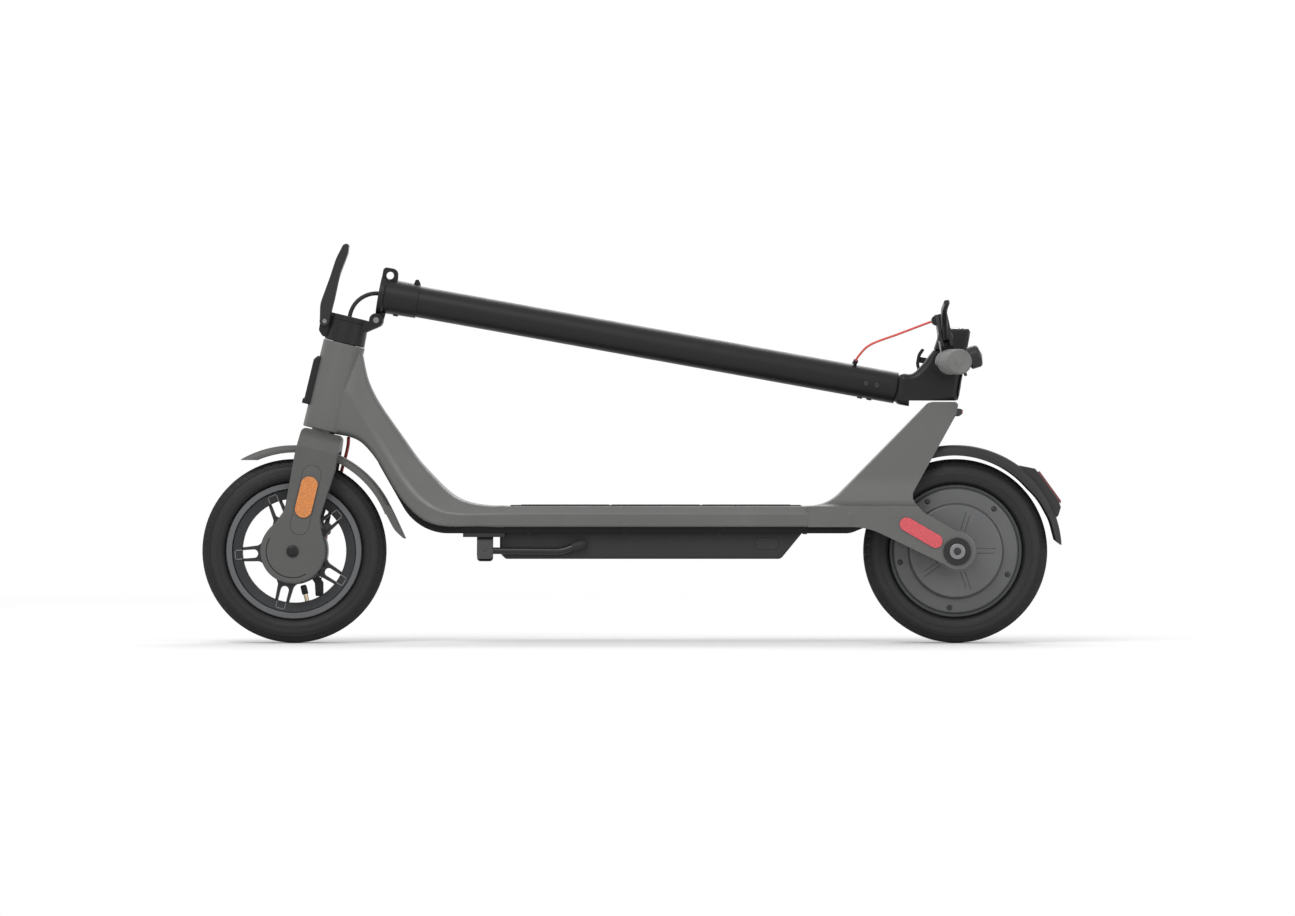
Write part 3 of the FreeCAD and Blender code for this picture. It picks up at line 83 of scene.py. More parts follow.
class Look:
    """A material being built: every texture reads the object's own coordinates."""

    def __init__(self, name, roughness=0.5, metallic=0.0, **sockets):
        self.material = bpy.data.materials.new(name)
        self.material.use_nodes = True
        self.nodes = self.material.node_tree.nodes
        self.links = self.material.node_tree.links
        self.shader = self.nodes["Principled BSDF"]
        self.shader.inputs["Roughness"].default_value = roughness
        self.shader.inputs["Metallic"].default_value = metallic
        for socket, value in sockets.items():
            self.shader.inputs[socket.replace("_", " ")].default_value = value
        self.place = self.nodes.new("ShaderNodeTexCoord").outputs["Object"]
        self.normal = None

    def feed(self, socket, value):
        if isinstance(value, bpy.types.NodeSocket):
            self.links.new(value, socket)
        else:
            socket.default_value = value

    def add(self, kind, inputs, out=0, **settings):
        node = self.nodes.new("ShaderNode" + kind)
        for key, value in settings.items():
            setattr(node, key, value)
        for key, value in inputs.items():
            self.feed(node.inputs[key], value)
        return node.outputs[out]

    def maths(self, operation, first, second=0.0):
        return self.add("Math", {0: first, 1: second}, operation=operation)

    def vector(self, operation, first, second, out=0):
        return self.add("VectorMath", {0: first, 1: second}, out, operation=operation)

    def noise(self, scale, detail=3.0, stretch=(1, 1, 1)):
        where = self.vector("MULTIPLY", self.place, stretch)
        return self.add("TexNoise", {"Vector": where, "Scale": scale, "Detail": detail})

    def cells(self, scale, stretch=(1, 1, 1), feature="F1"):
        where = self.vector("MULTIPLY", self.place, stretch)
        return self.add("TexVoronoi", {"Vector": where, "Scale": scale}, feature=feature)

    def ramp(self, value, low, high, start=0.0, end=1.0):
        return self.add("MapRange", {0: value, 1: low, 2: high, 3: start, 4: end})

    def mix(self, factor, first, second):
        return self.add("Mix", {0: factor, 6: first, 7: second}, 2, data_type="RGBA")

    def radius(self, centre):
        """The distance from a wheel's axle, in metres."""
        arm = self.vector("MULTIPLY", self.vector("SUBTRACT", self.place, centre), (1, 0, 1))
        return self.add("VectorMath", {0: arm}, 1, operation="LENGTH")

    def band(self, value, low, high, soft):
        rise = self.ramp(value, low - soft, low)
        fall = self.ramp(value, high, high + soft, 1.0, 0.0)
        return self.maths("MULTIPLY", rise, fall)

    def edges(self, radius):
        """Softens the shading of the CAD edges, and returns where they are."""
        self.normal = self.add("Bevel", {"Radius": radius}, samples=4)
        face = self.add("NewGeometry", {}, "Normal")
        along = self.vector("DOT_PRODUCT", self.normal, face, 1)
        return self.ramp(along, 0.995, 0.86)

    def colour(self, value):
        self.feed(self.shader.inputs["Base Color"], value)

    def roughness(self, value):
        self.feed(self.shader.inputs["Roughness"], value)

    def bump(self, height, distance, strength=1.0):
        inputs = {"Strength": strength, "Distance": distance, "Height": height}
        if self.normal is not None:
            inputs["Normal"] = self.normal
        self.normal = self.add("Bump", inputs)

    def done(self):
        if self.normal is not None:
            self.feed(self.shader.inputs["Normal"], self.normal)
        return self.material


def coated(name, colour, roughness, grain, depth, edge_highlight=0.3, metallic=0.0, **sockets):
    """A painted or moulded surface: fine grain, slow tone changes, and painted highlights along the edges."""
    look = Look(name, roughness, metallic, **sockets)
    edge = look.edges(0.0008)
    fine = look.noise(grain, 2.0)
    tone = look.mix(look.ramp(look.noise(6.0, 4.0), 0.3, 0.7), shade(colour, 0.92), shade(colour, 1.08))
    speck = look.mix(look.ramp(fine, 0.35, 0.65), shade(colour, 0.8), shade(colour, 1.2))
    tone = look.mix(0.35, tone, speck)
    dust = look.maths("MULTIPLY", look.ramp(look.noise(22.0, 6.0), 0.52, 0.8), 0.2)
    tone = look.mix(dust, tone, shade(colour, 1.5))
    # Painted highlight: the colour is lightened along the edges to stand in for light caught there.
    tone = look.mix(look.maths("MULTIPLY", edge, edge_highlight), tone, shade(colour, 2.4))
    look.colour(tone)
    look.roughness(look.ramp(look.noise(45.0, 5.0), 0.3, 0.7, roughness - 0.05, roughness + 0.06))
    look.bump(fine, depth)
    return look.done()


def metal(name, colour, roughness, stretch, scale=900.0, depth=0.000012, edge_highlight=0.25):
    """Bare or plated metal with a drawn or turned grain and painted highlights along the edges."""
    look = Look(name, roughness, 1.0)
    edge = look.edges(0.0005)
    grain = look.noise(scale, 3.0, stretch)
    tone = look.mix(look.ramp(grain, 0.3, 0.7), shade(colour, 0.82), shade(colour, 1.12))
    # Painted highlight: the colour is lightened along the edges to stand in for light caught there.
    tone = look.mix(look.maths("MULTIPLY", edge, edge_highlight), tone, shade(colour, 1.7))
    look.colour(tone)
    look.roughness(look.ramp(look.noise(120.0, 4.0), 0.3, 0.7, roughness - 0.07, roughness + 0.1))
    look.bump(grain, depth)
    return look.done()


def rubber(name, colour, roughness=0.72, scale=1100.0, depth=0.00004):
    look = Look(name, roughness, Specular_IOR_Level=0.35)
    fine = look.noise(scale, 4.0)
    bloom = look.ramp(look.noise(35.0, 6.0), 0.45, 0.75)
    tone = look.mix(look.ramp(fine, 0.3, 0.7), shade(colour, 0.8), shade(colour, 1.2))
    look.colour(look.mix(look.maths("MULTIPLY", bloom, 0.35), tone, shade(colour, 1.7)))
    look.roughness(look.ramp(bloom, 0.0, 1.0, roughness - 0.08, roughness + 0.08))
    look.bump(fine, depth)
    return look.done()


def tyre_rubber(name, centre):
    """Moulded rubber: a duller worn tread, fine turned lines and a slightly paler sidewall."""
    look = Look(name, 0.6, Specular_IOR_Level=0.25)
    radius = look.radius(centre)
    lines = look.maths("SINE", look.maths("MULTIPLY", radius, 9000.0))
    wall = look.band(radius, 0.0975, 0.1115, 0.004)
    tread = look.ramp(radius, 0.1215, 0.1255)
    fine = look.noise(1500.0, 4.0)
    dust = look.ramp(look.noise(40.0, 6.0), 0.45, 0.8)
    base = look.mix(look.ramp(fine, 0.3, 0.7), (0.006, 0.006, 0.0063, 1), (0.011, 0.011, 0.0115, 1))
    base = look.mix(look.maths("MULTIPLY", wall, 0.5), base, (0.024, 0.024, 0.025, 1))
    base = look.mix(look.maths("MULTIPLY", tread, 0.5), base, (0.010, 0.010, 0.010, 1))
    look.colour(look.mix(look.maths("MULTIPLY", dust, 0.18), base, (0.03, 0.029, 0.028, 1)))
    look.roughness(look.ramp(tread, 0.0, 1.0, 0.5, 0.78))
    look.bump(look.maths("MULTIPLY", lines, wall), 0.00003)
    look.bump(fine, 0.00004)
    return look.done()


def rim_alloy(name):
    """The front casting: a satin grey outer lip, a dark dished band, dark spokes and painted highlights along
    the edges.
    """
    look = Look(name, 0.42, 0.65)
    edge = look.edges(0.0009)
    radius = look.radius((-0.463, 0, 0.126))
    lip = look.ramp(radius, 0.0845, 0.0850)
    fine = look.noise(1300.0, 3.0)
    turned = look.maths("SINE", look.maths("MULTIPLY", radius, 14000.0))
    dark = look.mix(look.ramp(fine, 0.3, 0.7), (0.030, 0.031, 0.033, 1), (0.047, 0.048, 0.050, 1))
    light = look.mix(look.ramp(fine, 0.3, 0.7), (0.10, 0.102, 0.106, 1), (0.13, 0.132, 0.137, 1))
    tone = look.mix(lip, dark, light)
    # Painted highlight: the colour is lightened along the edges to stand in for light caught there.
    look.colour(look.mix(look.maths("MULTIPLY", edge, 0.55), tone, (0.18, 0.183, 0.186, 1)))
    look.roughness(look.ramp(look.noise(80.0, 4.0), 0.3, 0.7, 0.36, 0.5))
    look.bump(look.maths("MULTIPLY", turned, lip), 0.00001)
    look.bump(fine, 0.00003)
    return look.done()


def motor_alloy(name, colour):
    """The hub motor's cast covers: fine turned rings, cast grain, a painted shade on the outer ring and
    painted highlights along the edges.
    """
    look = Look(name, 0.44, 0.35)
    edge = look.edges(0.0009)
    radius = look.radius((0.444, 0, 0.126))
    turned = look.maths("SINE", look.maths("MULTIPLY", radius, 11000.0))
    fine = look.noise(1500.0, 3.0)
    tone = look.mix(look.ramp(look.noise(14.0, 5.0), 0.3, 0.7), shade(colour, 0.9), shade(colour, 1.1))
    tone = look.mix(look.maths("MULTIPLY", look.ramp(fine, 0.3, 0.7), 0.3), tone, shade(colour, 1.3))
    # Painted shade: the outer ring of the cover is darkened to stand in for the shade on its sloping face.
    outer = look.band(radius, 0.0655, 0.088, 0.001)
    tone = look.mix(look.maths("MULTIPLY", outer, 0.3), tone, shade(colour, 0.6))
    # Painted highlight: the colour is lightened along the edges to stand in for light caught there.
    look.colour(look.mix(look.maths("MULTIPLY", edge, 0.4), tone, shade(colour, 2.0)))
    look.roughness(look.ramp(look.noise(70.0, 4.0), 0.3, 0.7, 0.38, 0.52))
    look.bump(turned, 0.000008)
    look.bump(fine, 0.00003)
    return look.done()


def reflector(name, colour, painted_glow):
    """A prismatic reflector: rows of small corner cubes under a clear polished face, with a faint emission
    that paints a glow on it.
    """
    # Painted glow: the face emits a little light of its own, with no lamp behind it.
    look = Look(name, 0.22, Coat_Weight=0.8, Coat_Roughness=0.06, Emission_Strength=0.06)
    look.shader.inputs["Emission Color"].default_value = painted_glow
    look.edges(0.0006)
    prism = look.cells(520.0, (1, 0.5, 1))
    rows = look.add("TexWave", {"Vector": look.place, "Scale": 120.0}, bands_direction="DIAGONAL")
    tone = look.mix(look.ramp(prism, 0.1, 0.7), shade(colour, 1.25), shade(colour, 0.72))
    look.colour(look.mix(look.maths("MULTIPLY", rows, 0.18), tone, shade(colour, 1.4)))
    look.bump(prism, 0.0002, 0.7)
    return look.done()


def glossy(name, colour, roughness=0.25, coat=0.5):
    """A polished moulding or a cable's jacket."""
    look = Look(name, roughness, Coat_Weight=coat, Coat_Roughness=0.08)
    fine = look.noise(700.0, 3.0)
    tone = look.mix(look.ramp(fine, 0.3, 0.7), shade(colour, 0.88), shade(colour, 1.12))
    streak = look.ramp(look.noise(60.0, 5.0), 0.5, 0.8)
    look.colour(look.mix(look.maths("MULTIPLY", streak, 0.15), tone, shade(colour, 1.5)))
    look.roughness(look.ramp(streak, 0.0, 1.0, roughness, roughness + 0.12))
    look.bump(fine, 0.00001)
    return look.done()


def catch_plastic(name):
    """The fender catch: black with a red tip."""
    look = Look(name, 0.35, Coat_Weight=0.3)
    along = look.add("SeparateXYZ", {0: look.place})
    fine = look.noise(700.0, 3.0)
    tip = look.ramp(along, 0.4525, 0.4535)
    tone = look.mix(tip, (0.009, 0.009, 0.01, 1), (0.34, 0.015, 0.015, 1))
    grain = look.maths("MULTIPLY", look.ramp(fine, 0.3, 0.7), 0.25)
    look.colour(look.mix(grain, tone, (0.02, 0.012, 0.012, 1)))
    look.bump(fine, 0.00002)
    return look.done()


def lamp_glass(name):
    look = Look(name, 0.06, Transmission_Weight=0.85, IOR=1.49)
    flutes = look.add("TexWave", {"Vector": look.place, "Scale": 180.0}, bands_direction="Y")
    look.colour(look.mix(flutes, (0.86, 0.89, 0.93, 1), (0.97, 0.98, 1.0, 1)))
    look.bump(flutes, 0.0003, 0.6)
    return look.done()


def winding(name):
    look = Look(name, 0.5, 0.4)
    wires = look.add("TexWave", {"Vector": look.place, "Scale": 600.0, "Distortion": 2.0})
    look.colour(look.mix(wires, (0.16, 0.07, 0.03, 1), (0.42, 0.20, 0.09, 1)))
    look.bump(wires, 0.0002)
    return look.done()


def shrink_wrap(name):
    look = Look(name, 0.3, Coat_Weight=0.4)
    folds = look.noise(90.0, 5.0, (1, 3, 1))
    look.colour(look.mix(look.ramp(folds, 0.3, 0.7), (0.02, 0.07, 0.22, 1), (0.04, 0.12, 0.32, 1)))
    look.bump(folds, 0.0008)
    return look.done()


def braid(name):
    """A woven wiring sleeve."""
    look = Look(name, 0.6, Specular_IOR_Level=0.4)
    first = look.add("TexWave", {"Vector": look.place, "Scale": 420.0}, bands_direction="DIAGONAL")
    turned = look.vector("MULTIPLY", look.place, (-1, 1, 1))
    second = look.add("TexWave", {"Vector": turned, "Scale": 420.0}, bands_direction="DIAGONAL")
    weave = look.maths("MULTIPLY", first, second)
    look.colour(look.mix(weave, (0.010, 0.010, 0.011, 1), (0.05, 0.05, 0.052, 1)))
    look.bump(weave, 0.0003)
    return look.done()


GREY = (0.080, 0.080, 0.078)
BLACK = (0.0075, 0.0075, 0.0082)
FRAME_COAT = coated("frame_coat", GREY, 0.43, 1500.0, 0.000025, 0.45, Specular_IOR_Level=0.5)
FORK_COAT = coated("fork_coat", shade(GREY, 0.78), 0.46, 1500.0, 0.000025, 0.45, Specular_IOR_Level=0.4)
STEM_COAT = coated("stem_coat", BLACK, 0.4, 1700.0, 0.00002, 0.35, Specular_IOR_Level=0.25)
COVER_GREY = coated("cover_grey", (0.068, 0.068, 0.066), 0.5, 1100.0, 0.00004, 0.4, Specular_IOR_Level=0.35)
GUARD_GREY = coated("guard_grey", (0.074, 0.074, 0.072), 0.54, 950.0, 0.00006, 0.4, Specular_IOR_Level=0.35)
GUARD_DARK = coated("guard_dark", (0.021, 0.021, 0.022), 0.52, 950.0, 0.00006, 0.4, Specular_IOR_Level=0.3)
CASE_PLASTIC = coated("case_plastic", (0.017, 0.0172, 0.018), 0.54, 800.0, 0.00008, 0.4,
    Specular_IOR_Level=0.3)
PLATE_PLASTIC = coated("plate_plastic", (0.005, 0.005, 0.0055), 0.6, 800.0, 0.00008, 0.4,
    Specular_IOR_Level=0.15)
TRIM_PLASTIC = coated("trim_plastic", (0.008, 0.008, 0.0085), 0.48, 1000.0, 0.00005, 0.35,
    Specular_IOR_Level=0.25)
BLACK_METAL = coated("black_metal", (0.012, 0.012, 0.013), 0.33, 1900.0, 0.000015, 0.5, 0.3)
RIM_DARK = coated("rim_dark", (0.040, 0.043, 0.042), 0.45, 1500.0, 0.00003, 0.4, 0.4)
FRONT_RUBBER = tyre_rubber("front_tyre_rubber", (-0.463, 0, 0.126))
REAR_RUBBER = tyre_rubber("rear_tyre_rubber", (0.444, 0, 0.126))
MAT_RUBBER = rubber("mat_rubber", (0.020, 0.020, 0.021))
PORT_RUBBER = rubber("port_rubber", (0.016, 0.016, 0.017), 0.6)
GRIP_RUBBER = rubber("grip_rubber", (0.108, 0.108, 0.106), 0.62, 1400.0)
FOOT_RUBBER = rubber("foot_rubber", (0.012, 0.012, 0.012), 0.7)
RIM_ALLOY = rim_alloy("rim_alloy")
MOTOR_ALLOY = motor_alloy("motor_alloy", (0.096, 0.097, 0.099))
DRUM_ALLOY = metal("drum_alloy", (0.22, 0.22, 0.225), 0.45, (1, 1, 1), 1200.0, 0.00004)
STEEL = metal("plated_steel", (0.22, 0.22, 0.225), 0.36, (1, 9, 1))
DARK_STEEL = metal("black_oxide", (0.055, 0.055, 0.06), 0.38, (1, 1, 1), 1500.0, 0.00002, 0.6)
BRASS = metal("nickelled_brass", (0.56, 0.47, 0.33), 0.3, (1, 1, 6))
BARE_ALLOY = metal("bare_alloy", (0.40, 0.40, 0.42), 0.4, (8, 1, 1))
ORANGE = reflector("orange_prism", (0.46, 0.145, 0.018), (0.63, 0.19, 0.02, 1))
RED = reflector("red_prism", (0.47, 0.04, 0.055), (0.62, 0.05, 0.07, 1))
TAIL_RED = reflector("tail_prism", (0.11, 0.003, 0.005), (0.2, 0.005, 0.01, 1))
RED_CABLE = glossy("red_cable", (0.56, 0.055, 0.04), 0.35)
RED_PLASTIC = glossy("red_plastic", (0.34, 0.015, 0.015))
DISPLAY = glossy("display_black", (0.006, 0.006, 0.007), 0.08, 1.0)
MARK_GREY = glossy("display_marks", (0.16, 0.17, 0.18), 0.3)
BRAID = braid("wiring_braid")

FINISH = {
    "main_frame": FRAME_COAT, "fork": FORK_COAT, "fork_side_covers": COVER_GREY,
    "front_mudguard": GUARD_GREY, "rear_mudguard": GUARD_DARK, "battery_case": CASE_PLASTIC,
    "bottom_plate": PLATE_PLASTIC, "head_trim": TRIM_PLASTIC, "headlight_housing": TRIM_PLASTIC,
    "throttle_housing": TRIM_PLASTIC, "throttle_paddle": TRIM_PLASTIC, "front_axle_caps": TRIM_PLASTIC,
    "stem_tube": STEM_COAT, "stem_flange": STEM_COAT, "stem_head": STEM_COAT, "handlebar": STEM_COAT,
    "hinge_collar": STEM_COAT, "fold_lever": BLACK_METAL, "brake_clamp": BLACK_METAL,
    "brake_lever": BLACK_METAL, "bell": BLACK_METAL, "bell_lever": BLACK_METAL,
    "kickstand_bracket": BLACK_METAL, "kickstand_leg": BLACK_METAL, "rear_washers": BLACK_METAL,
    "rear_rim": RIM_DARK, "front_rim": RIM_ALLOY, "motor_covers": MOTOR_ALLOY,
    "brake_drum_plate": DRUM_ALLOY, "brake_arm": BLACK_METAL, "steerer_tube": STEEL,
    "headset_bearings": STEEL, "rear_axle": STEEL, "motor_bearings": STEEL, "front_axle": STEEL,
    "front_hub_bearings": STEEL, "hinge_pins": STEEL, "front_valve": BRASS,
    "controller_box": BARE_ALLOY, "front_reflectors": ORANGE, "rear_reflectors": RED,
    "tail_light_lens": TAIL_RED, "catch_button": catch_plastic("catch_plastic"), "power_button": RED_PLASTIC,
    "dash_panel": DISPLAY, "port_cover": PORT_RUBBER, "headlight_lens": lamp_glass("lamp_glass"),
    "motor_stator": winding("motor_winding"), "magnet_ring": DARK_STEEL,
    "battery_pack": shrink_wrap("cell_wrap"),
}
for node, material in FINISH.items():
    NODES[node].data.materials.clear()
    NODES[node].data.materials.append(material)


# ---------------------------------------------------------------- mesh work

class Shells:
    """Closed shells, given in millimetres, that become one piece."""

    def __init__(self):
        self.points = []
        self.faces = []

    def add(self, where, points, faces):
        base = len(self.points)
        self.points += [where @ (Vector(point) * MM) for point in points]
        self.faces += [tuple(base + index for index in face) for face in faces]
        return self

    def piece(self, name, material, slot, replaces=(), body=None, sharp=35):
        mesh = bpy.data.meshes.new(name)
        work = bmesh.new()
        corners = [work.verts.new(point) for point in self.points]
        for face in self.faces:
            if len(set(face)) > 2:
                work.faces.new([corners[index] for index in face])
        bmesh.ops.remove_doubles(work, verts=work.verts, dist=2e-6)
        bmesh.ops.recalc_face_normals(work, faces=work.faces)
        for face in work.faces:
            face.smooth = True
        work.to_mesh(mesh)
        work.free()
        mesh.set_sharp_from_angle(angle=math.radians(sharp))
        mesh.materials.append(material)
        item = bpy.data.objects.new(name, mesh)
        bpy.context.scene.collection.objects.link(item)
        if replaces:
            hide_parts(*replaces)
        if body:
            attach(item, body)
        return item


def rounded(corners, steps=5):
    """A closed outline whose corners (x, y, radius) are turned into arcs."""
    outline = []
    count = len(corners)
    for index, corner in enumerate(corners):
        here = Vector(corner[:2])
        radius = corner[2] if len(corner) > 2 else 0
        back = Vector(corners[index - 1][:2]) - here
        ahead = Vector(corners[(index + 1) % count][:2]) - here
        half = back.angle(ahead) / 2
        if not radius or half > math.pi / 2 - 0.02:
            outline.append(here)
            continue
        reach = min(radius / math.tan(half), back.length * 0.499, ahead.length * 0.499)
        radius = reach * math.tan(half)
        middle = here + (back.normalized() + ahead.normalized()).normalized() * (radius / math.sin(half))
        start = here + back.normalized() * reach - middle
        sweep = start.angle_signed(here + ahead.normalized() * reach - middle)
        for step in range(steps + 1):
            turn = Matrix.Rotation(-sweep * step / steps, 2)
            outline.append(middle + turn @ start)
    return outline


def lathe(profile, steps, offset=None):
    """A closed profile of (radius, along) corners turned about the Y axis."""
    outline = rounded(profile)
    count = len(outline)
    points, faces = [], []
    for step in range(steps):
        angle = 2 * math.pi * step / steps
        for radius, along in outline:
            if offset:
                radius += offset(angle, radius, along)
            points.append((radius * math.cos(angle), along, radius * math.sin(angle)))
        after = (step + 1) % steps
        for index in range(count):
            nxt = (index + 1) % count
            faces.append((step * count + index, step * count + nxt, after * count + nxt,
                after * count + index))
    return points, faces


def slab(corners, low, high, bevel=0.0):
    """A flat outline in XY that rises from low to high, with a bevelled top edge."""
    outline = rounded(corners)
    work = bmesh.new()
    floor = work.faces.new([work.verts.new((x, y, low)) for x, y in outline])
    raised = bmesh.ops.extrude_face_region(work, geom=[floor])
    lifted = [item for item in raised["geom"] if isinstance(item, bmesh.types.BMVert)]
    bmesh.ops.translate(work, verts=lifted, vec=(0, 0, high - low))
    if bevel:
        tops = [edge for edge in work.edges if all(abs(vert.co.z - high) < 1e-6 for vert in edge.verts)]
        bmesh.ops.bevel(work, geom=tops, offset=bevel, segments=2, profile=0.5, affect="EDGES")
    work.verts.index_update()
    points = [tuple(vert.co) for vert in work.verts]
    faces = [tuple(vert.index for vert in face.verts) for face in work.faces]
    work.free()
    return points, faces


def smooth_path(knots, per=10):
    """Points on a smooth line through the knots."""
    knots = [Vector(knot) for knot in knots]
    line = [knots[0] * 2 - knots[1]] + knots + [knots[-1] * 2 - knots[-2]]
    path = []
    for index in range(1, len(line) - 2):
        before, start, end, after = line[index - 1:index + 3]
        for step in range(per):
            t = step / per
            path.append(0.5 * (
                2 * start + (end - before) * t + (2 * before - 5 * start + 4 * end - after) * t * t
                + (3 * start - before - 3 * end + after) * t ** 3
            ))
    return path + [knots[-1]]


def tube(path, radius, sides=14):
    """A closed tube along a line; the radius is a number or a rule of the share of the length."""
    points, faces = [], []
    side = (path[1] - path[0]).orthogonal().normalized()
    count = len(path)
    for index, point in enumerate(path):
        ahead = (path[min(index + 1, count - 1)] - path[max(index - 1, 0)]).normalized()
        side = (side - ahead * side.dot(ahead)).normalized()
        up = ahead.cross(side)
        size = radius(index / (count - 1)) if callable(radius) else radius
        for step in range(sides):
            angle = 2 * math.pi * step / sides
            points.append(point + (side * math.cos(angle) + up * math.sin(angle)) * size)
    for index in range(count - 1):
        for step in range(sides):
            after = (step + 1) % sides
            faces.append((index * sides + step, index * sides + after,
                          (index + 1) * sides + after, (index + 1) * sides + step))
    faces.append(tuple(range(sides)))
    faces.append(tuple((count - 1) * sides + step for step in range(sides)))
    return points, faces


def socket_screw(radius, height, base=0.4):
    """A low round screw head along Z with a hexagonal socket."""
    def hexagon(size):
        corners = []
        for step in range(24):
            angle = math.pi * step / 12
            fold = (angle % (math.pi / 3)) - math.pi / 6
            reach = size / math.cos(fold)
            corners.append((reach * math.cos(angle), reach * math.sin(angle)))
        return corners

    def ring(size):
        return [(size * math.cos(math.pi * step / 12),
            size * math.sin(math.pi * step / 12)) for step in range(24)]

    levels = [(ring(0.01), -base), (ring(radius), -base), (ring(radius), height * 0.55),
              (ring(radius * 0.93), height * 0.85), (ring(radius * 0.78), height),
              (hexagon(radius * 0.46), height), (hexagon(radius * 0.46), height * 0.25),
              (ring(0.01), height * 0.15)]
    points = [(x, y, level) for outline, level in levels for x, y in outline]
    faces = []
    for level in range(len(levels) - 1):
        for step in range(24):
            after = (step + 1) % 24
            faces.append((level * 24 + step, level * 24 + after, (level + 1) * 24 + after,
                (level + 1) * 24 + step))
    return points, faces


def arc_bar(radius, width, start, end, low, high, steps=40):
    """A thin raised bar that follows an arc about the Y axis, between two levels."""
    inner, outer = [], []
    for step in range(steps + 1):
        angle = math.radians(start + (end - start) * step / steps)
        inner.append(((radius - width / 2) * math.cos(angle), (radius - width / 2) * math.sin(angle)))
        outer.append(((radius + width / 2) * math.cos(angle), (radius + width / 2) * math.sin(angle)))
    outline = inner + outer[::-1]
    count = len(outline)
    points = [(x, level, z) for level in (low, high) for x, z in outline]
    faces = []
    for level in (0, 1):
        for step in range(steps):
            base = level * count
            faces.append((base + step, base + step + 1, base + count - 2 - step, base + count - 1 - step))
    for index in range(count):
        after = (index + 1) % count
        faces.append((index, after, count + after, count + index))
    return points, faces


# ---------------------------------------------------------------- wheels

def tread_cut(angle, radius, along):
    """Slanted sipes across the tyre's shoulders, and short notches in its middle ribs."""
    wide = abs(along)
    if radius < 117:
        return 0
    turn = (angle / (2 * math.pi) * 60 + wide * 0.03) % 1
    deep = 1.1 if 11.2 < wide < 23 else 0.7 if 4.4 < wide < 8.2 else 0
    return -deep if turn < 0.17 else 0


def tyre(name, bead, where, material, body, node):
    """A tyre with ribbed sidewalls, a stepped shoulder, four tread grooves and sipes."""
    side = [
        (bead - 6, 15.9), (bead + 0.6, 15.9, 1), (bead + 2.2, 20.6, 2), (bead + 3.2, 21.2, 0.4),
        (bead + 3.4, 22.4, 0.4), (bead + 4.8, 23.4, 2), (101, 25.1, 8), (103.6, 25.4), (103.9, 25.9),
        (105.1, 25.9), (105.4, 25.45), (111.5, 25.3, 12), (115.6, 23.7, 3), (116.0, 24.3, 0.3),
        (117.2, 23.7, 0.3), (117.4, 22.5, 1), (121.5, 20.2, 6), (124.9, 17.2, 3), (125.9, 13.2, 2),
        (126, 11.2), (124.2, 10.8), (124.2, 9.2), (126, 8.8), (126, 8.2), (126, 4.4), (124.2, 4.0),
        (124.2, 2.4), (126, 2.0),
    ]
    mirrored = [(corner[0], -corner[1]) + corner[2:] for corner in reversed(side)]
    inside = [(bead - 6, -12), (bead + 3, -13, 3), (113, -20, 8), (118, -10, 8), (118, 10, 8), (113, 20, 8),
              (bead + 3, 13, 3), (bead - 6, 12)]
    shell = Shells().add(where, *lathe(side + mirrored + inside, 480, tread_cut))
    shell.piece(name, material, "tyre_rubber", [node], body)


tyre("tyre_front", 93.3, FRONT_AXLE, FRONT_RUBBER, "front_wheel", "front_tyre")
tyre("tyre_rear", 91, REAR_AXLE, REAR_RUBBER, "rear_wheel", "rear_tyre")


def spoke_outlines():
    """Thin raised frames on the rim's dished band, in line with the split spokes."""
    shells = Shells()
    for index in range(5):
        spoke = FRONT_AXLE @ place(angle=-40 - 72 * index)
        for side in (-1, 1):
            face = spoke @ place(0, side * 11.4, 0, 90 * side, "X")
            for y in (-6.1, 6.1):
                shells.add(face, *slab([(71.5, y - 0.6), (81.6, y - 0.6), (81.6, y + 0.6),
                    (71.5, y + 0.6)], -1, 1.1, 0.2))
            shells.add(face, *slab([(80.4, -6.7), (81.6, -6.7), (81.6, 6.7), (80.4, 6.7)], -1, 1.1, 0.2))
    shells.piece("rim_outlines", DRUM_ALLOY, "rim_metal", body="front_wheel")


spoke_outlines()

cover_screws = Shells()
for turn in range(5):
    for side in (-1, 1):
        seat = REAR_AXLE @ place(angle=-47.7 - 72 * turn) @ place(SCREW_CIRCLE, side * 20, 0, -90 * side, "X")
        cover_screws.add(seat, *socket_screw(3.4, 2.2))
cover_screws.piece("motor_screws", DARK_STEEL, "screws", ["cover_screws"], "rear_wheel")

sockets = Shells()
for side in (-1, 1):
    sockets.add(REAR_AXLE, *lathe([(0.01, side * 77.5), (4.9, side * 77.5), (4.9, side * 78.3, 0.3),
        (0.01, side * 78.3)], 48))
sockets.piece("axle_sockets", DARK_STEEL, "screws", body="frame")

cap = Shells().add(FRONT_AXLE @ place(angle=166) @ place(0, 0, 60, -90, "X"), *lathe([
    (0.01, -1.5), (4.1, -1.5, 0.5), (4.1, 9.5, 0.8), (3, 11.5, 0.8), (0.01, 11.5),
], 48, lambda angle, radius, along: 0.25 * math.cos(angle * 12) if radius > 3.5 else 0))
cap.piece("valve_cap", FOOT_RUBBER, "tyre_rubber", body="front_wheel")


# ---------------------------------------------------------------- fork and folding joint

# Painted shade: thin dark bars stand in for the shadow in a crescent groove on each fork disc.
groove_shade_bars = Shells()
for side in (-1, 1):
    groove_shade_bars.add(FRONT_AXLE, *arc_bar(36, 1.3, 150, 300, side * 57.6, side * 58.15))
groove_shade_bars.piece("fork_groove_shade", TRIM_PLASTIC, "frame_paint", body="fork")

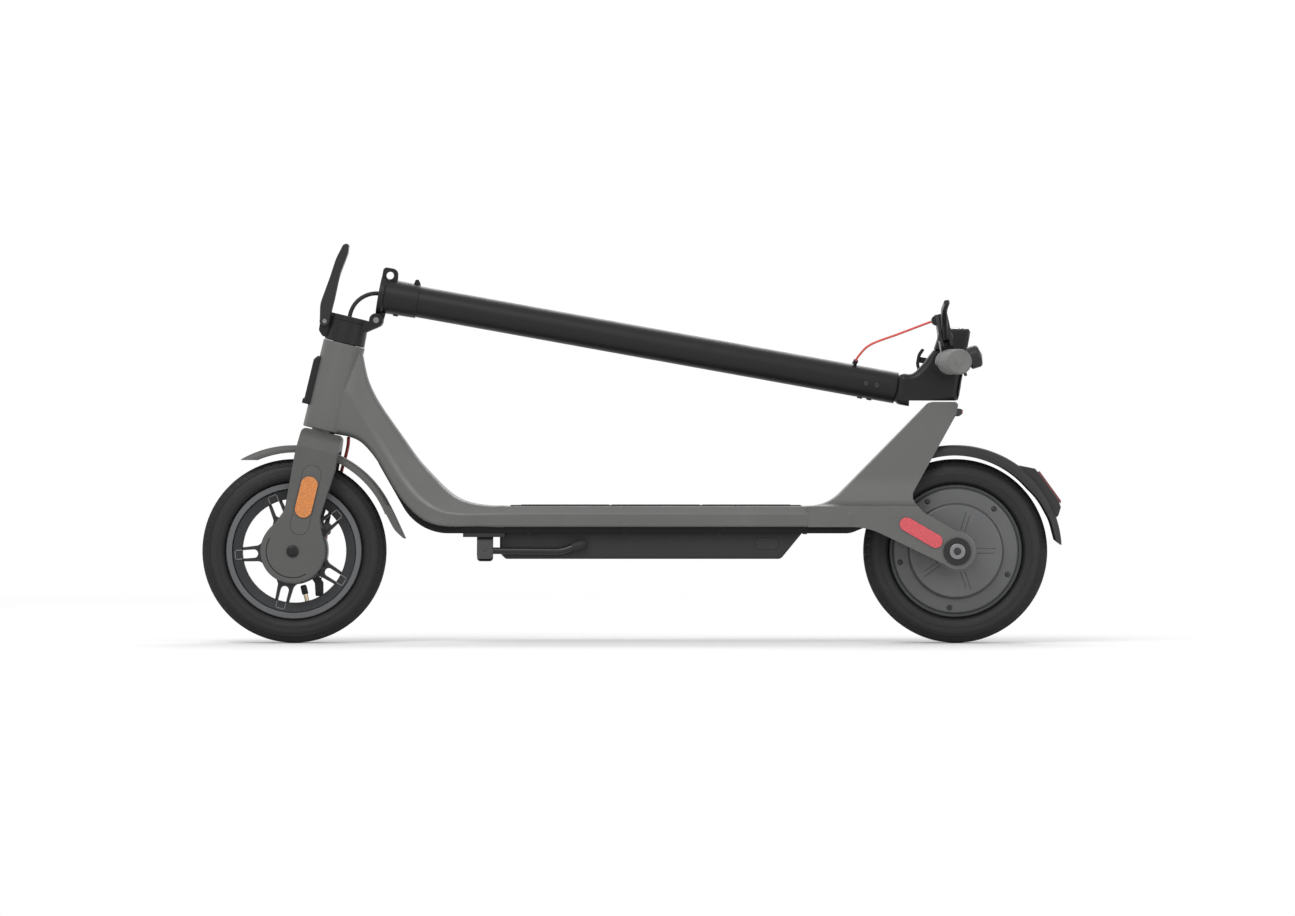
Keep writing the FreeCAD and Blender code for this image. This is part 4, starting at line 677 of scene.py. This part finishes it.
fold_loop = []
for step in range(81):
    angle = math.radians(93.5 + (FOLD_ANGLE + 10) * step / 80)
    spot = FOLD_PIN @ (Vector((HARNESS_BEND * math.cos(angle), 0, HARNESS_BEND * math.sin(angle))) * MM)
    fold_loop.append(spot / MM)
sleeve = Shells().add(Matrix.Identity(4), *tube(fold_loop,
    lambda share: 2.9 + 0.18 * math.cos(share * 170), 18))
sleeve = sleeve.piece("harness_sleeve", BRAID, "wire_black", ["harness_loop"])
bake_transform(sleeve)

lower_path = smooth_path([
    (-389.5, 14, 281.1), (-390.5, 23, 271), (-393.5, 33.8, 259), (-399, 38.6, 240), (-404.5, 39.2, 218),
    (-413, 39.2, 188), (-420, 38.8, 166.4),
], 12)
inner_path = smooth_path([(-420, 38.8, 147.6), (-423.5, 39.6, 110), (-430, 41, 81)], 12)
lower = Shells().add(Matrix.Identity(4), *tube(lower_path, 2.4))
lower.add(Matrix.Identity(4), *tube(inner_path, lambda share: 0.85 + 0.08 * math.cos(share * 230), 10))
lower = lower.piece("brake_cable_sleeve", RED_CABLE, "red_cable", ["brake_cable_lower"])
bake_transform(lower)


def ferrule(start, ahead, radius, length):
    """A stepped end cap on a cable, with three crimped rings."""
    along = (Vector(ahead) - Vector(start)).normalized()
    path = [Vector(start) + along * (length * step / 24) for step in range(25)]

    def size(share):
        return radius * (0.94 if 0.25 < share < 0.62 and int(share * 24) % 3 == 0 else 1.0)

    return tube(path, size, 18)


ferrules = Shells().add(Matrix.Identity(4), *ferrule((-420, 38.8, 165.4), (-417.2, 38.9, 176), 3.1, 9))
ferrules.piece("lower_ferrule", DARK_STEEL, "steel", body="fork")


# ---------------------------------------------------------------- stem and bar

start, onward = [BRAKE @ (Vector((58, y, 7)) * MM) / MM for y in (21, 46)]
inward, end = [STEM @ (Vector(point) * MM) / MM for point in ((-47, -19, 668), (-22.6, -3, 659.6))]
upper_path = smooth_path([start, start.lerp(onward, 0.7), onward.lerp(inward, 0.16), onward.lerp(inward, 0.5),
                          inward.lerp(onward, 0.1), inward.lerp(end, 0.5), end], 12)
upper = Shells().add(Matrix.Identity(4), *tube(upper_path, 1.6))
upper.piece("brake_cable_run", RED_CABLE, "red_cable", ["brake_cable_upper"], "stem")
caps = Shells().add(Matrix.Identity(4), *ferrule(start, onward, 2.6, 11))
caps.add(Matrix.Identity(4), *ferrule(end, inward, 3.4, 6))
caps.piece("upper_ferrules", DARK_STEEL, "steel", body="stem")

heads = Shells()
for forward, along in ((23.7, 27.8), (21.55, 675), (21.55, 688)):
    heads.add(STEM @ place(forward, 0, along, 90), *socket_screw(3.6, 1.6))
for along in (680, 695):
    heads.add(STEM @ place(1.5, -21.6, along, 90, "X"), *socket_screw(3.6, 1.6))
pivot = BRAKE @ place(34, -2, 0)
heads.add(pivot @ place(0, 0, 8.4), *socket_screw(4.2, 1.8))
heads.add(pivot @ place(0, 0, -8.4, 180, "X"), *socket_screw(4.2, 1.8))
heads.add(pivot @ place(angle=90, axis="X"), *lathe([(0.01, -8.4), (2.45, -8.4), (2.45, 8.4),
    (0.01, 8.4)], 32))
heads.piece("stem_screw_heads", DARK_STEEL, "screws", ["stem_screws"], "stem")

plate_heads = Shells()
for x in (-140, -10, 120, 236):
    for y in (-68, 68):
        plate_heads.add(place(x, y, 150.6, 180, "X"), *socket_screw(3.2, 1.2))
plate_heads.piece("plate_screw_heads", DARK_STEEL, "screws", ["plate_screws"], "frame")


def flutes(angle, radius, along):
    """Shallow lengthwise flutes in rows, with smooth bands between them."""
    along = abs(along)
    if radius < 15.6 or not 64 < along < 160 or int(along / 16) % 2:
        return 0
    return -0.45 * (0.5 + 0.5 * math.cos(angle * 30))


def grip(side):
    corners = [(11.1, 53), (17.4, 53, 1.5), (17.4, 56.5, 1.5), (16.4, 59, 2), (16.55, 63.9), (16.55, 64.1)]
    for level in range(64, 161, 4):
        radius = 16.6 + 0.5 * min(1, (level - 60) / 40)
        corners.append((radius, level))
        corners.append((radius, level + 0.2 if level % 16 == 0 else level + 2))
    corners += [(17.2, 165), (17.2, 168, 3), (14.4, 170, 2), (13.6, 169.4, 0.4), (5, 169.4, 0.4),
        (4.4, 170, 0.4),
                (0.01, 170), (0.01, 168.2), (11.1, 168.2)]
    return lathe([(corner[0], side * corner[1]) + tuple(corner[2:]) for corner in corners], 180, flutes)


grips = Shells().add(BAR_RIGHT, *grip(1)).add(BAR_LEFT, *grip(-1))
grips.piece("ribbed_grips", GRIP_RUBBER, "grip_rubber", ["grips"], "stem")

marks = Shells()
for index in range(5):
    marks.add(STEM @ place(-34 - 7 * index, 0, 808.7), *slab([
        (-2.2, -1.4, 0.6), (2.2, -1.4, 0.6), (2.2, 1.4, 0.6), (-2.2, 1.4, 0.6)], -0.2, 0.15, 0.05))
for y in (-11, 11):
    marks.add(STEM @ place(-52, y, 808.7), *slab([
        (-14, -0.5, 0.4), (14, -0.5, 0.4), (14, 0.5, 0.4), (-14, 0.5, 0.4)], -0.2, 0.12, 0.04))
marks.piece("dash_marks", MARK_GREY, "display", body="stem")


# ---------------------------------------------------------------- deck

def ribbed_mat():
    """The deck mat: a rounded sheet with lengthwise ribs in three blocks."""
    low, high = (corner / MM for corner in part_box("deck_mat"))
    edge = [(low.x, low.y, 22), (high.x, low.y, 22), (high.x, high.y, 22), (low.x, high.y, 22)]
    shells = Shells().add(Matrix.Identity(4), *slab(edge, low.z, high.z - 0.7, 0.5))
    length = (high.x - low.x - 24) / 3
    rows = int((high.y - low.y - 24) / 6)
    for block in range(3):
        start = low.x + 12 + block * length + 2
        end = start + length - 4
        for row in range(rows + 1):
            y = -rows * 3 + row * 6
            trim = 9 if abs(y) > rows * 3 - 8 and block != 1 else 0
            left = start + (trim if block == 0 else 0)
            right = end - (trim if block == 2 else 0)
            shells.add(Matrix.Identity(4), *slab([
                (left, y - 1.5, 1.45), (right, y - 1.5, 1.45), (right, y + 1.5, 1.45), (left, y + 1.5, 1.45),
            ], high.z - 1.2, high.z, 0.35))
    shells.piece("ribbed_mat", MAT_RUBBER, "mat_rubber", ["deck_mat"], "frame")


ribbed_mat()

foot = Shells().add(
    STAND @ Matrix.Translation(Vector((121, -2.4, 4.6)) * MM)
    @ Vector((17, -1, 5.6)).to_track_quat("Y", "Z").to_matrix().to_4x4(),
    *lathe([(4.8, -2), (6.4, -2, 0.6), (6.4, 12.4, 3), (3.6, 17.8, 3), (0.01, 17.8), (0.01, 12),
        (4.8, 12)], 60,
           lambda angle, radius, along: -0.35 if radius > 5.6 and int(along + 40) % 3 == 0 else 0))
foot.piece("stand_foot", FOOT_RUBBER, "black_metal", body="kickstand")


# ---------------------------------------------------------------- studio

def pale(name, colour):
    """A matt floor that turns into the plain surround a few metres out."""
    look = Look(name, 0.85, Specular_IOR_Level=0.0, Emission_Strength=1.0)
    reach = look.add("VectorMath", {0: look.place}, 1, operation="LENGTH")
    far = look.add("MapRange", {0: reach, 1: 0.9, 2: 4.2, 3: 0.0, 4: 1.0}, interpolation_type="SMOOTHSTEP")
    fine = look.mix(look.ramp(look.noise(1.5, 3.0), 0.3, 0.7), shade(colour, 0.985), shade(colour, 1.01))
    look.colour(look.mix(far, fine, (0, 0, 0, 1)))
    look.feed(look.shader.inputs["Emission Color"], look.mix(far, (0, 0, 0, 1), (1, 1, 1, 1)))
    return look.done()


def studio():
    """A pale round floor, one broad key light, two fills and a soft pale surround."""
    turns = [math.pi * step / 48 for step in range(96)]
    points = [(FLOOR_RADIUS * math.cos(turn), FLOOR_RADIUS * math.sin(turn), -0.0004) for turn in turns]
    mesh = bpy.data.meshes.new("floor")
    mesh.from_pydata(points, [], [tuple(range(96))])
    mesh.materials.append(pale("floor_pale", (0.7, 0.7, 0.7)))
    floor = bpy.data.objects.new("floor", mesh)
    bpy.context.scene.collection.objects.link(floor)
    world = bpy.data.worlds.new("surround")
    world.use_nodes = True
    world.node_tree.nodes["Background"].inputs["Color"].default_value = (1, 1, 1, 1)
    world.node_tree.nodes["Background"].inputs["Strength"].default_value = 1.0
    bpy.context.scene.world = world
    for name, spot, size, power in (
        ("key", (-1.2, -2.6, 3.0), 2.2, 75),
        ("fill", (2.6, -2.4, 1.2), 2.0, 22),
        ("back", (0.6, 2.8, 2.6), 2.4, 45),
    ):
        light = bpy.data.lights.new(name, "AREA")
        light.shape = "DISK"
        light.size = size
        light.energy = power
        lamp = bpy.data.objects.new(name, light)
        lamp.location = spot
        lamp.rotation_euler = (Vector((0, 0, 0.25)) - Vector(spot)).to_track_quat("-Z", "Y").to_euler()
        bpy.context.scene.collection.objects.link(lamp)


def camera():
    """A level side view from the scooter's left, through a long lens."""
    distance, width = 10.0, 1.7784
    lens = bpy.data.cameras.new("camera")
    lens.sensor_width = 36
    lens.lens = 36 * distance / width
    lens.clip_end = 60
    lens.dof.use_dof = False
    eye = bpy.data.objects.new("camera", lens)
    eye.location = (0.0216, -distance, 0.2534)
    eye.rotation_euler = (math.pi / 2, 0, 0)
    bpy.context.scene.collection.objects.link(eye)
    bpy.context.scene.camera = eye


studio()
camera()
bpy.context.scene.view_settings.view_transform = "Standard"
